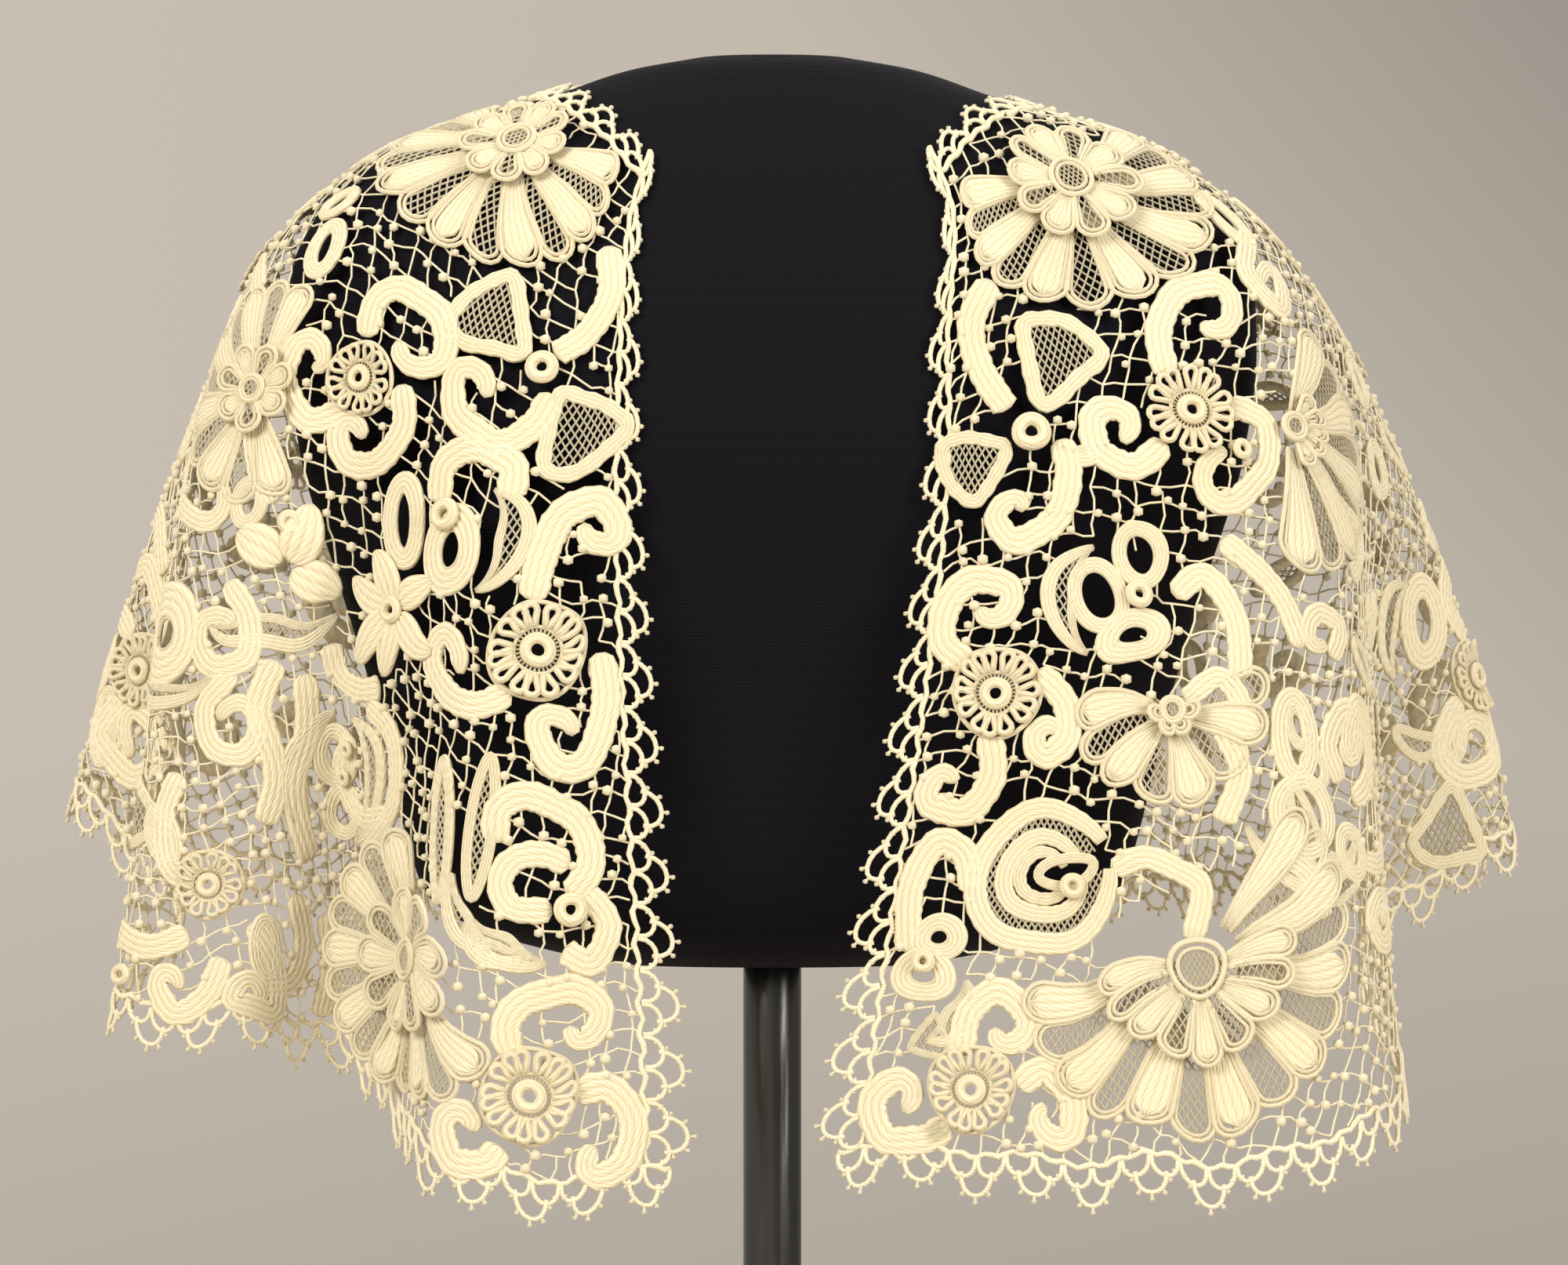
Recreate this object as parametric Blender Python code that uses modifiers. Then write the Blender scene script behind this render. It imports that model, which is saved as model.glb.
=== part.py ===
"""An Irish crochet cape collar lying on a limbless dress form that stands on a pole with a round foot.

The collar is drafted flat, as half of a ring, and draped by a table of hem folds. The ground is cut into six
panels, the motifs are cut from the same flat pattern and raised on the drape, and the edging follows its rim.
Distances are in millimetres inside the tables and become metres when a mesh is made.
"""

import math

import bmesh
import bpy
import numpy as np
from mathutils import Matrix, Vector
from mathutils.bvhtree import BVHTree
from mathutils.geometry import barycentric_transform

MM = 0.001
COLLECTION_NAME = "lace_collar_on_dress_form"
CUTTER_COLLECTION_NAME = "cutters"

# Stand
BASE_RADIUS = 140.0
BASE_HEIGHT = 12.0
BASE_BEVEL = 2.5
BASE_SEGMENTS = 48
POLE_RADIUS = 11.5
POLE_SEGMENTS = 24
SEAT_GAP = 0.3
FORM_BOTTOM = 300.0

# The form's cross-sections, from the top down: height, half width, half depth
FORM_SECTIONS = (
    (656.0, 32.0, 22.0),
    (651.0, 58.0, 35.0),
    (642.0, 84.0, 48.0),
    (632.0, 112.0, 58.0),
    (620.0, 147.0, 68.0),
    (605.0, 170.0, 79.0),
    (590.0, 182.0, 87.0),
    (570.0, 190.0, 95.0),
    (540.0, 191.0, 104.0),
    (500.0, 186.0, 108.0),
    (450.0, 171.0, 103.0),
    (400.0, 156.0, 94.0),
    (345.0, 143.0, 88.0),
    (328.0, 137.0, 83.0),
    (315.0, 120.0, 72.0),
    (305.0, 88.0, 54.0),
    (FORM_BOTTOM, 62.0, 38.0),
)
FORM_SQUARENESS = 2.3
FORM_SEGMENTS = 40

# Flat pattern of the collar: part of a ring
PATTERN_NECK_RADIUS = 131.0
PATTERN_DEPTH = 368.0
PATTERN_SPREAD = 3.2

# Wall and layers
WALL_THICKNESS = 1.6
WALL_ON_FORM = 2.1
LAYER_GAP = 0.4
LAYER_THICKNESS = 1.8
SEAM_GAP = 0.5
NECK_SEAM_GAP = 1.2

# Neckline on the form: heading in degrees from the front by way of the viewer's left, and height
NECKLINE = (
    (32.0, 602.0),
    (46.0, 620.0),
    (68.0, 635.0),
    (100.0, 641.0),
    (180.0, 640.0),
    (262.0, 636.0),
    (294.0, 630.0),
    (308.0, 620.0),
    (320.0, 604.0),
)

# Where the cloth leaves the form: heading and height
LEAVING_LINE = (
    (29.0, 530.0),
    (50.0, 565.0),
    (75.0, 602.0),
    (90.0, 606.0),
    (120.0, 590.0),
    (180.0, 560.0),
    (240.0, 590.0),
    (270.0, 606.0),
    (285.0, 602.0),
    (308.0, 565.0),
    (327.0, 530.0),
)

# How far the stiff lace stands out over the shoulder's end: heading and distance
BELLY = (
    (29.0, 0.0),
    (60.0, 7.0),
    (95.0, 13.0),
    (130.0, 9.0),
    (180.0, 6.0),
    (230.0, 11.0),
    (265.0, 20.0),
    (300.0, 9.0),
    (327.0, 0.0),
)

# Folds along the hem, round from the viewer's left front edge: name, x, y, z
HEM_FOLDS = (
    ("front_edge_left", -46.0, -128.0, 231.0),
    ("front_mid_left", -88.0, -140.0, 231.0),
    ("front_ridge_left", -124.0, -132.0, 238.0),
    ("front_fold_left", -142.0, -88.0, 258.0),
    ("valley_left", -168.0, -40.0, 276.0),
    ("side_ridge_left", -205.0, -72.0, 287.0),
    ("side_brow_left", -252.0, -56.0, 291.0),
    ("side_valley_left", -232.0, -6.0, 322.0),
    ("outer_ridge_left", -279.0, 30.0, 372.0),
    ("outer_back_left", -251.0, 86.0, 352.0),
    ("back_valley_left", -192.0, 102.0, 330.0),
    ("back_ridge_left", -152.0, 162.0, 324.0),
    ("back_valley_left_inner", -98.0, 138.0, 323.0),
    ("back_mid_left", -50.0, 176.0, 320.0),
    ("back_centre", 0.0, 152.0, 321.0),
    ("back_mid_right", 52.0, 176.0, 320.0),
    ("back_valley_right_inner", 100.0, 138.0, 323.0),
    ("back_ridge_right", 156.0, 162.0, 324.0),
    ("back_valley_right", 198.0, 102.0, 328.0),
    ("outer_back_right", 257.0, 80.0, 335.0),
    ("outer_ridge_right", 296.0, 27.0, 353.0),
    ("side_valley_right", 232.0, -18.0, 316.0),
    ("side_ridge_right", 236.0, -98.0, 261.0),
    ("front_ridge_right", 205.0, -134.0, 243.0),
    ("front_mid_right", 160.0, -142.0, 236.0),
    ("front_inner_right", 85.0, -140.0, 238.0),
    ("front_edge_right", 33.0, -128.0, 242.0),
)

# Grid of the wall
COLUMNS = 54
ROWS_ON_FORM = 7
ROWS_IN_FALL = 7
FALL_START = 0.37
PANEL_COLUMNS = (
    ("ground_front_left", 0, 7),
    ("ground_side_left", 7, 17),
    ("ground_back_left", 17, 27),
    ("ground_back_right", 27, 37),
    ("ground_side_right", 37, 46),
    ("ground_front_right", 46, 54),
)
DRAPE_COLUMNS = 640
DRAPE_ROWS = 160
FORM_SAMPLES = 60
FALL_SAMPLES = 120
LINE_SAMPLES = 2000
CURVE_REFINING = 8

# The share of a fall that still follows the form's slope, and the steps that read a slope or a direction
START_REACH = 0.8
SLOPE_STEP = 0.5
SLOPE_TURN = 0.0025
PROBE_U = 0.01
PROBE_V = 0.02
PAST_U = 0.02
PAST_V = 0.03
MERGE_DISTANCE = 0.02

# Edging
HEM_EDGING_DEPTH = 17.0
FRONT_EDGING_DEPTH = 13.0
NECK_EDGING_DEPTH = 12.0
SCALLOP_VALLEY = 0.62
EDGING_RIM = 2.4

# Net gaps that are cut through, the largest first
NET_GAPS = 84
NET_RIB_SHARE = 0.3
NET_CLEARANCE = 5.0

# The camera of the photograph, which places the motifs
PHOTO_MIDDLE = (1000.0, 806.5)
CAMERA_X = 4.65
CAMERA_HEIGHT = 430.0
CAMERA_DISTANCE = 2000.0
FOCAL_PIXELS = 6451.6
SEARCH_PIXELS = 9.0
SAME_FOLD_DEPTH = 8.0

# Flowers: name, place in the photograph, fan radius in mm, lobes of its rim (none for a plain round)
FLOWERS = (
    ("flower_shoulder_left", 663, 190, 44.0, 9),
    ("flower_shoulder_right", 1360, 236, 46.0, 9),
    ("flower_side_left", 325, 505, 27.0, 0),
    ("flower_side_right", 1662, 535, 27.0, 0),
    ("flower_ridge_left", 529, 1225, 42.0, 9),
    ("flower_hem_right", 1530, 1275, 47.0, 11),
    ("flower_lobes_left", 366, 715, 23.0, 0),
    ("flower_small_right", 1495, 951, 24.0, 0),
    ("flower_shell_right", 1328, 1112, 21.0, 0),
)
# Roses: name, place in the photograph, outer radius
ROSES = (
    ("rose_1_left", 462, 478, 13.5),
    ("rose_2_left", 688, 830, 18.0),
    ("rose_3_left", 671, 1400, 17.5),
    ("rose_4_right", 1517, 525, 16.5),
    ("rose_5_right", 1268, 886, 16.0),
    ("rose_6_right", 1243, 1389, 15.0),
)
# Pods with an open centre: name, place, half width, half height, degrees, hole half width, half height
PODS = (
    ("pod_1_left", 576, 701, 11.5, 16.0, 0.0, 3.9, 6.0),
    ("pod_2_left", 682, 1133, 13.0, 14.0, 0.0, 4.8, 4.8),
    ("pod_3_left", 605, 603, 14.0, 9.5, 0.0, 5.5, 3.0),
    ("pod_4_left", 417, 315, 10.0, 14.0, 20.0, 3.6, 6.0),
    ("pod_5_right", 1451, 708, 11.0, 13.0, 0.0, 5.6, 7.6),
    ("pod_6_right", 1396, 790, 11.0, 14.0, 15.0, 5.8, 8.0),
    ("pod_7_right", 1561, 290, 9.5, 17.0, 8.0, 3.5, 9.0),
    ("pod_8_right", 1180, 1241, 13.0, 11.0, 0.0, 4.6, 3.6),
    ("pod_9_right", 1821, 787, 11.0, 15.0, -10.0, 4.4, 7.0),
    ("pod_10_left", 211, 810, 13.0, 13.0, 0.0, 4.2, 4.2),
)
# Motifs of the back, where the photograph doesn't reach: name, kind, distance from the neck, degrees from the
# middle of the back, size
BACK_MOTIFS = (
    ("flower_back_middle", "flower", 250.0, 0.0, 50.0),
    ("flower_back_left", "flower", 130.0, -30.0, 42.0),
    ("flower_back_right", "flower", 130.0, 30.0, 42.0),
    ("rose_back_left", "rose", 255.0, -24.0, 17.0),
    ("rose_back_right", "rose", 255.0, 24.0, 17.0),
)
HOLE_SIDES = 8
CUTTER_DEPTH = 24.0
CUTTER_REACH = 30.0
POD_SIDES = 10
ROUND_SIDES = 12
UPPER_SIDES = 8
LOBE_NOTCH = 0.84
UPPER_SHARE = 0.5

# Looks: name, colour, roughness, metallic
COTTON = ("cream_cotton", (0.93, 0.86, 0.66), 0.85, 0.0)
COTTON_RAISED = ("cream_cotton_raised", (0.95, 0.89, 0.70), 0.85, 0.0)
JERSEY = ("black_jersey", (0.006, 0.006, 0.009), 0.9, 0.0)
STEEL = ("dark_steel", (0.22, 0.22, 0.22), 0.25, 1.0)
FOOT_STEEL = ("foot_steel", (0.18, 0.18, 0.19), 0.35, 1.0)


def clear_scene():
    """Removes whatever the open file holds."""
    for obj in list(bpy.data.objects):
        bpy.data.objects.remove(obj, do_unlink=True)


def new_collection(name):
    collection = bpy.data.collections.new(name)
    bpy.context.scene.collection.children.link(collection)
    return collection


def material(look):
    """The Principled material of a look, made once."""
    name, colour, roughness, metallic = look
    found = bpy.data.materials.get(name)
    if found:
        return found
    made = bpy.data.materials.new(name)
    made.use_nodes = True
    shader = made.node_tree.nodes["Principled BSDF"]
    shader.inputs["Base Color"].default_value = (*colour, 1.0)
    shader.inputs["Roughness"].default_value = roughness
    shader.inputs["Metallic"].default_value = metallic
    return made


def add_object(name, mesh, collection, look):
    obj = bpy.data.objects.new(name, mesh)
    mesh.materials.append(material(look))
    collection.objects.link(obj)
    return obj


def mesh_from(bm, name):
    mesh = bpy.data.meshes.new(name)
    bm.to_mesh(mesh)
    bm.free()
    return mesh


def smooth_curve(at, knots, values):
    """A cubic through the values at the knots, without overshoot, read at each number in at."""
    knots = np.asarray(knots, float)
    values = np.asarray(values, float)
    gaps = np.diff(knots)
    slopes = np.diff(values) / gaps
    tangents = np.zeros_like(values)
    same_way = slopes[:-1] * slopes[1:] > 0
    weights = gaps[1:] * 2 + gaps[:-1], gaps[1:] + gaps[:-1] * 2
    safe = np.where(same_way, slopes[:-1], 1.0), np.where(same_way, slopes[1:], 1.0)
    mean = (weights[0] + weights[1]) / (weights[0] / safe[0] + weights[1] / safe[1])
    tangents[1:-1] = np.where(same_way, mean, 0.0)
    tangents[0], tangents[-1] = slopes[0], slopes[-1]
    at = np.clip(at, knots[0], knots[-1])
    k = np.clip(np.searchsorted(knots, at, side="right") - 1, 0, len(gaps) - 1)
    t = (at - knots[k]) / gaps[k]
    return (
        values[k] * (1 + 2 * t) * (1 - t) ** 2
        + tangents[k] * gaps[k] * t * (1 - t) ** 2
        + values[k + 1] * t * t * (3 - 2 * t)
        + tangents[k + 1] * gaps[k] * t * t * (t - 1)
    )


def fold_curve(points, count):
    """Points evenly spaced along a rounded curve through the given points."""
    points = np.asarray(points, float)
    steps = np.linalg.norm(np.diff(points, axis=0), axis=1)
    knots = np.concatenate([[0.0], np.cumsum(np.sqrt(steps))])
    tangents = np.empty_like(points)
    inner = np.diff(knots)[:, None]
    chord = np.diff(points, axis=0) / inner
    tangents[1:-1] = (chord[:-1] * inner[1:] + chord[1:] * inner[:-1]) / (inner[1:] + inner[:-1])
    tangents[0], tangents[-1] = chord[0], chord[-1]
    at = np.linspace(0.0, knots[-1], count * CURVE_REFINING)
    k = np.clip(np.searchsorted(knots, at, side="right") - 1, 0, len(steps) - 1)
    gap = np.diff(knots)[k][:, None]
    t = ((at - knots[k]) / np.diff(knots)[k])[:, None]
    curve = (
        points[k] * (1 + 2 * t) * (1 - t) ** 2
        + tangents[k] * gap * t * (1 - t) ** 2
        + points[k + 1] * t * t * (3 - 2 * t)
        + tangents[k + 1] * gap * t * t * (t - 1)
    )
    return evenly_spaced(curve, count)


def evenly_spaced(points, count):
    """count points at equal steps along the path."""
    run = np.concatenate([[0.0], np.cumsum(np.linalg.norm(np.diff(points, axis=0), axis=1))])
    at = np.linspace(0.0, run[-1], count)
    return np.stack([np.interp(at, run, points[:, axis]) for axis in range(3)], axis=1)


def form_size(height):
    """Half width and half depth of the form at a height."""
    table = np.array(FORM_SECTIONS)[::-1]
    return (
        smooth_curve(height, table[:, 0], table[:, 1]),
        smooth_curve(height, table[:, 0], table[:, 2]),
    )


def form_radius(heading, height):
    """Distance from the form's axis to its surface."""
    half_width, half_depth = form_size(height)
    side = np.abs(np.sin(heading) / half_width) ** FORM_SQUARENESS
    front = np.abs(np.cos(heading) / half_depth) ** FORM_SQUARENESS
    return (side + front) ** (-1.0 / FORM_SQUARENESS)


def form_point(heading, height, lift):
    """A point lifted off the form along its normal. Heading 0 is the front, 90 degrees the viewer's left."""

    def at(heading, height):
        radius = form_radius(heading, height)
        return np.stack([-radius * np.sin(heading), -radius * np.cos(heading), height], axis=-1)

    across = at(heading + SLOPE_TURN, height) - at(heading - SLOPE_TURN, height)
    down = at(heading, height - SLOPE_STEP) - at(heading, height + SLOPE_STEP)
    normal = np.cross(across, down)
    normal /= np.linalg.norm(normal, axis=-1, keepdims=True)
    return at(heading, height) + normal * lift


def around_form(headings, heights, count):
    """Heading and height at equal steps along a line on the form."""
    fine = np.linspace(headings[0], headings[-1], LINE_SAMPLES)
    level = smooth_curve(fine, headings, heights)
    line = form_point(np.radians(fine), level, WALL_ON_FORM)
    run = np.concatenate([[0.0], np.cumsum(np.linalg.norm(np.diff(line, axis=0), axis=1))])
    at = np.linspace(0.0, run[-1], count)
    return np.radians(np.interp(at, run, fine)), np.interp(at, run, level)


class Drape:
    """The collar's middle surface, read at u along its width and v from neck to hem, both from 0 to 1."""

    def __init__(self):
        neck = np.array(NECKLINE)
        leaving = np.array(LEAVING_LINE)
        neck_heading, neck_height = around_form(neck[:, 0], neck[:, 1], DRAPE_COLUMNS + 1)
        leave_heading, leave_height = around_form(leaving[:, 0], leaving[:, 1], DRAPE_COLUMNS + 1)
        hem = fold_curve([fold[1:] for fold in HEM_FOLDS], DRAPE_COLUMNS + 1)
        columns = [
            self.column(neck_heading[i], neck_height[i], leave_heading[i], leave_height[i], hem[i])
            for i in range(DRAPE_COLUMNS + 1)
        ]
        self.grid = np.array(columns)
        self.widths = np.linalg.norm(np.diff(self.grid, axis=0), axis=2).sum(axis=0)

    @staticmethod
    def column(neck_heading, neck_height, leave_heading, leave_height, hem):
        """One line of the drape: on the form to where the cloth leaves it, then a falling curve to the hem."""
        along = np.linspace(0.0, 1.0, FORM_SAMPLES)
        ease = along * along * (3.0 - 2.0 * along)
        heading = neck_heading + (leave_heading - neck_heading) * ease
        height = neck_height + (leave_height - neck_height) * along
        on_form = form_point(heading, height, WALL_ON_FORM)
        leave = on_form[-1]
        drop = hem - leave
        reach = np.linalg.norm(drop)
        start = on_form[-1] - on_form[-4]
        start = start / np.linalg.norm(start) * reach * START_REACH
        t = np.linspace(0.0, 1.0, FALL_SAMPLES)[1:, None]
        fall = (
            leave * (1 + 2 * t) * (1 - t) ** 2
            + start * t * (1 - t) ** 2
            + hem * t * t * (3 - 2 * t)
            + drop * t * t * (t - 1)
        )
        outward = np.array([-math.sin(leave_heading), -math.cos(leave_heading), 0.0])
        belly = smooth_curve(math.degrees(leave_heading), *np.array(BELLY).T)
        fall = Drape.outside_form(fall + outward * belly * 4.0 * t * (1 - t))
        return evenly_spaced(np.concatenate([on_form, fall]), DRAPE_ROWS + 1)

    @staticmethod
    def outside_form(points):
        """Moves points that would enter the form out to its surface and the wall's clearance."""
        heading = np.arctan2(-points[:, 0], -points[:, 1])
        radius = np.hypot(points[:, 0], points[:, 1])
        needed = form_radius(heading, np.clip(points[:, 2], FORM_BOTTOM, None)) + WALL_ON_FORM
        needed = np.where(points[:, 2] < FORM_BOTTOM, 0.0, needed)
        scale = np.maximum(1.0, needed / radius)
        return points * np.stack([scale, scale, np.ones_like(scale)], axis=1)

    def inside(self, u, v):
        """The surface at u and v within 0 and 1."""
        a = np.clip(u, 0.0, 1.0) * DRAPE_COLUMNS
        b = np.clip(v, 0.0, 1.0) * DRAPE_ROWS
        i = min(int(a), DRAPE_COLUMNS - 1)
        j = min(int(b), DRAPE_ROWS - 1)
        s, t = a - i, b - j
        grid = self.grid
        near = grid[i, j] * (1 - t) + grid[i, j + 1] * t
        far = grid[i + 1, j] * (1 - t) + grid[i + 1, j + 1] * t
        return near * (1 - s) + far * s

    def point(self, u, v):
        """The surface at u and v, carried on straight past its rim."""
        place = self.inside(u, v)
        beyond_u = u - min(max(u, 0.0), 1.0)
        beyond_v = v - min(max(v, 0.0), 1.0)
        if beyond_u:
            inner = self.inside(PROBE_U if u < 0 else 1.0 - PROBE_U, v)
            outward = (place - inner) / np.linalg.norm(place - inner)
            place = place + outward * abs(beyond_u) * self.width(v)
        if beyond_v:
            inner = self.inside(u, PROBE_V if v < 0 else 1.0 - PROBE_V)
            rim = self.inside(u, v)
            outward = (rim - inner) / np.linalg.norm(rim - inner)
            place = place + outward * abs(beyond_v) * PATTERN_DEPTH
        return place

    def width(self, v):
        return float(np.interp(np.clip(v, 0.0, 1.0), np.linspace(0.0, 1.0, DRAPE_ROWS + 1), self.widths))

    def locate(self, pixel_x, pixel_y):
        """u and v of the nearest surface that the photograph shows at this pixel."""
        points = self.grid
        scale = FOCAL_PIXELS / (CAMERA_DISTANCE + points[:, :, 1])
        across = PHOTO_MIDDLE[0] + (points[:, :, 0] - CAMERA_X) * scale - pixel_x
        down = PHOTO_MIDDLE[1] - (points[:, :, 2] - CAMERA_HEIGHT) * scale - pixel_y
        miss = np.hypot(across, down)
        depth = np.where(miss < max(SEARCH_PIXELS, miss.min() + 1.0), points[:, :, 1], np.inf)
        near = np.where(points[:, :, 1] < depth.min() + SAME_FOLD_DEPTH, miss, np.inf)
        i, j = np.unravel_index(np.argmin(near), near.shape)
        return i / DRAPE_COLUMNS, j / DRAPE_ROWS


def row_values():
    """v of each row line of the wall: finer where the wall bends over the shoulder."""
    return np.concatenate(
        [
            np.linspace(0.0, FALL_START, ROWS_ON_FORM + 1)[:-1],
            np.linspace(FALL_START, 1.0, ROWS_IN_FALL + 1),
        ]
    )


def flat_place(u, v):
    """The flat pattern's point at u and v."""
    radius = PATTERN_NECK_RADIUS + v * PATTERN_DEPTH
    turn = (u - 0.5) * PATTERN_SPREAD
    return Vector((radius * math.sin(turn), -radius * math.cos(turn), 0.0))


class Pattern:
    """The flat pattern as a mesh of triangles, the same triangles draped, and the way between them."""

    def __init__(self, drape):
        self.drape = drape
        self.rows = row_values()
        self.columns = np.linspace(0.0, 1.0, COLUMNS + 1)
        self.flat = bmesh.new()
        bmesh.ops.create_grid(self.flat, x_segments=COLUMNS, y_segments=len(self.rows) - 1, size=0.5)
        places, cells = [], []
        for vert in self.flat.verts:
            column = round((vert.co.x + 0.5) * COLUMNS)
            row = round((0.5 - vert.co.y) * (len(self.rows) - 1))
            u, v = self.columns[column], self.rows[row]
            places.append(Vector(drape.point(u, v)))
            cells.append((column, row))
            vert.co = flat_place(u, v)
        bmesh.ops.triangulate(self.flat, faces=self.flat.faces, quad_method="FIXED")
        self.flat.verts.ensure_lookup_table()
        self.flat.faces.ensure_lookup_table()
        draped = self.flat.copy()
        draped.verts.ensure_lookup_table()
        for vert, place in zip(draped.verts, places):
            vert.co = place
        draped.normal_update()
        hem_corner = draped.verts[cells.index((0, len(self.rows) - 1))]
        outward = hem_corner.normal.dot(Vector((hem_corner.co.x, hem_corner.co.y, 0.0)))
        facing = 1.0 if outward > 0 else -1.0
        self.places = places
        self.normals = [vert.normal * facing for vert in draped.verts]
        self.normal_at = dict(zip(cells, self.normals))
        draped.free()
        self.tree = BVHTree.FromBMesh(self.flat)

    def draped(self, flat_point, lift):
        """The draped point above a point of the flat pattern."""
        near, _, index, _ = self.tree.find_nearest(flat_point)
        corners = [vert.index for vert in self.flat.faces[index].verts]
        flat = [self.flat.verts[corner].co for corner in corners]
        raised = [self.places[corner] + self.normals[corner] * lift for corner in corners]
        return barycentric_transform(near, *flat, *raised)

    def cut(self, outline):
        """The piece of the flat pattern inside a convex outline, given anticlockwise."""
        piece = self.flat.copy()
        for start, end in zip(outline, outline[1:] + outline[:1]):
            side = end - start
            geometry = list(piece.verts) + list(piece.edges) + list(piece.faces)
            bmesh.ops.bisect_plane(
                piece,
                geom=geometry,
                dist=1e-4,
                plane_co=start,
                plane_no=Vector((side.y, -side.x, 0.0)),
                clear_outer=True,
            )
        return piece


def ellipse(centre, half_width, half_height, turn, sides):
    """A convex outline, anticlockwise in the flat pattern."""
    spin = Matrix.Rotation(turn, 3, "Z")
    angles = [2 * math.pi * (k + 0.5) / sides for k in range(sides)]
    return [
        centre + spin @ Vector((half_width * math.cos(a), half_height * math.sin(a), 0.0)) for a in angles
    ]


def lobed_outlines(centre, radius, lobes):
    """A kite for each lobe, which together make a round with a scalloped rim."""
    outlines = []
    step = 2 * math.pi / lobes
    for k in range(lobes):
        turns = (k * step, (k + 0.5) * step, (k + 1) * step)
        reaches = (radius * LOBE_NOTCH, radius, radius * LOBE_NOTCH)
        rim = [
            centre + Vector((reach * math.cos(turn), reach * math.sin(turn), 0.0))
            for turn, reach in zip(turns, reaches)
        ]
        outlines.append([centre] + rim)
    return outlines


def joined(pieces):
    """One flat mesh from pieces that share their edges."""
    whole = bmesh.new()
    for piece in pieces:
        carrier = mesh_from(piece, "piece")
        whole.from_mesh(carrier)
        bpy.data.meshes.remove(carrier)
    bmesh.ops.remove_doubles(whole, verts=whole.verts, dist=MERGE_DISTANCE)
    return whole


def closed_layer(sheet, places, normals, low, high):
    """Makes a sheet a closed wall from low to high mm along its points' normals, given in its order."""
    number = sheet.verts.layers.int.new("number")
    for k, vert in enumerate(sheet.verts):
        vert[number] = k
    made = bmesh.ops.extrude_face_region(sheet, geom=list(sheet.faces), use_keep_orig=True)
    upper = {item for item in made["geom"] if isinstance(item, bmesh.types.BMVert)}
    for vert in sheet.verts:
        k = vert[number]
        vert.co = (places[k] + normals[k] * (high if vert in upper else low)) * MM
    bmesh.ops.recalc_face_normals(sheet, faces=sheet.faces)
    if sheet.calc_volume(signed=True) < 0:
        bmesh.ops.reverse_faces(sheet, faces=sheet.faces)


def raised_layer(pattern, name, outlines, level, collection):
    """A closed layer over the outlines of the flat pattern, from level mm above the wall's middle."""
    flat = joined([pattern.cut(outline) for outline in outlines])
    bmesh.ops.dissolve_degenerate(flat, dist=MERGE_DISTANCE, edges=flat.edges)
    places = [pattern.draped(vert.co, 0.0) for vert in flat.verts]
    normals = [pattern.draped(vert.co, 1.0) - place for vert, place in zip(flat.verts, places)]
    closed_layer(flat, places, normals, level, level + LAYER_THICKNESS)
    add_object(name, mesh_from(flat, name), collection, COTTON_RAISED)


class Motifs:
    """Places of every motif in the flat pattern."""

    def __init__(self, drape):
        self.flowers = [(name, self.from_photo(drape, x, y), *sizes) for name, x, y, *sizes in FLOWERS]
        self.roses = [(name, self.from_photo(drape, x, y), radius) for name, x, y, radius in ROSES]
        self.pods = [(name, self.from_photo(drape, x, y), *sizes) for name, x, y, *sizes in PODS]
        for name, kind, depth, degrees, size in BACK_MOTIFS:
            place = flat_place(0.5 + math.radians(degrees) / PATTERN_SPREAD, depth / PATTERN_DEPTH)
            if kind == "flower":
                self.flowers.append((name, place, size, 0))
            else:
                self.roses.append((name, place, size))

    @staticmethod
    def from_photo(drape, pixel_x, pixel_y):
        return flat_place(*drape.locate(pixel_x, pixel_y))

    def discs(self):
        """Centre and radius of each motif."""
        found = [(place, fan) for _, place, fan, *_ in self.flowers]
        found += [(place, radius) for _, place, radius in self.roses]
        found += [(place, max(sizes[0], sizes[1])) for _, place, *sizes in self.pods]
        return found


def make_stand(collection):
    """Round foot and pole."""
    foot = bmesh.new()
    bmesh.ops.create_cone(
        foot,
        cap_ends=True,
        segments=BASE_SEGMENTS,
        radius1=BASE_RADIUS * MM,
        radius2=BASE_RADIUS * MM,
        depth=BASE_HEIGHT * MM,
    )
    foot_object = add_object("stand_foot", mesh_from(foot, "stand_foot"), collection, FOOT_STEEL)
    foot_object.location.z = BASE_HEIGHT / 2 * MM
    bevel = foot_object.modifiers.new("rounded rim", "BEVEL")
    bevel.width = BASE_BEVEL * MM
    bevel.limit_method = "ANGLE"

    length = FORM_BOTTOM - BASE_HEIGHT - 2 * SEAT_GAP
    pole = bmesh.new()
    bmesh.ops.create_cone(
        pole,
        cap_ends=True,
        segments=POLE_SEGMENTS,
        radius1=POLE_RADIUS * MM,
        radius2=POLE_RADIUS * MM,
        depth=length * MM,
    )
    pole_object = add_object("stand_pole", mesh_from(pole, "stand_pole"), collection, STEEL)
    pole_object.location.z = (BASE_HEIGHT + SEAT_GAP + length / 2) * MM


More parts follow.
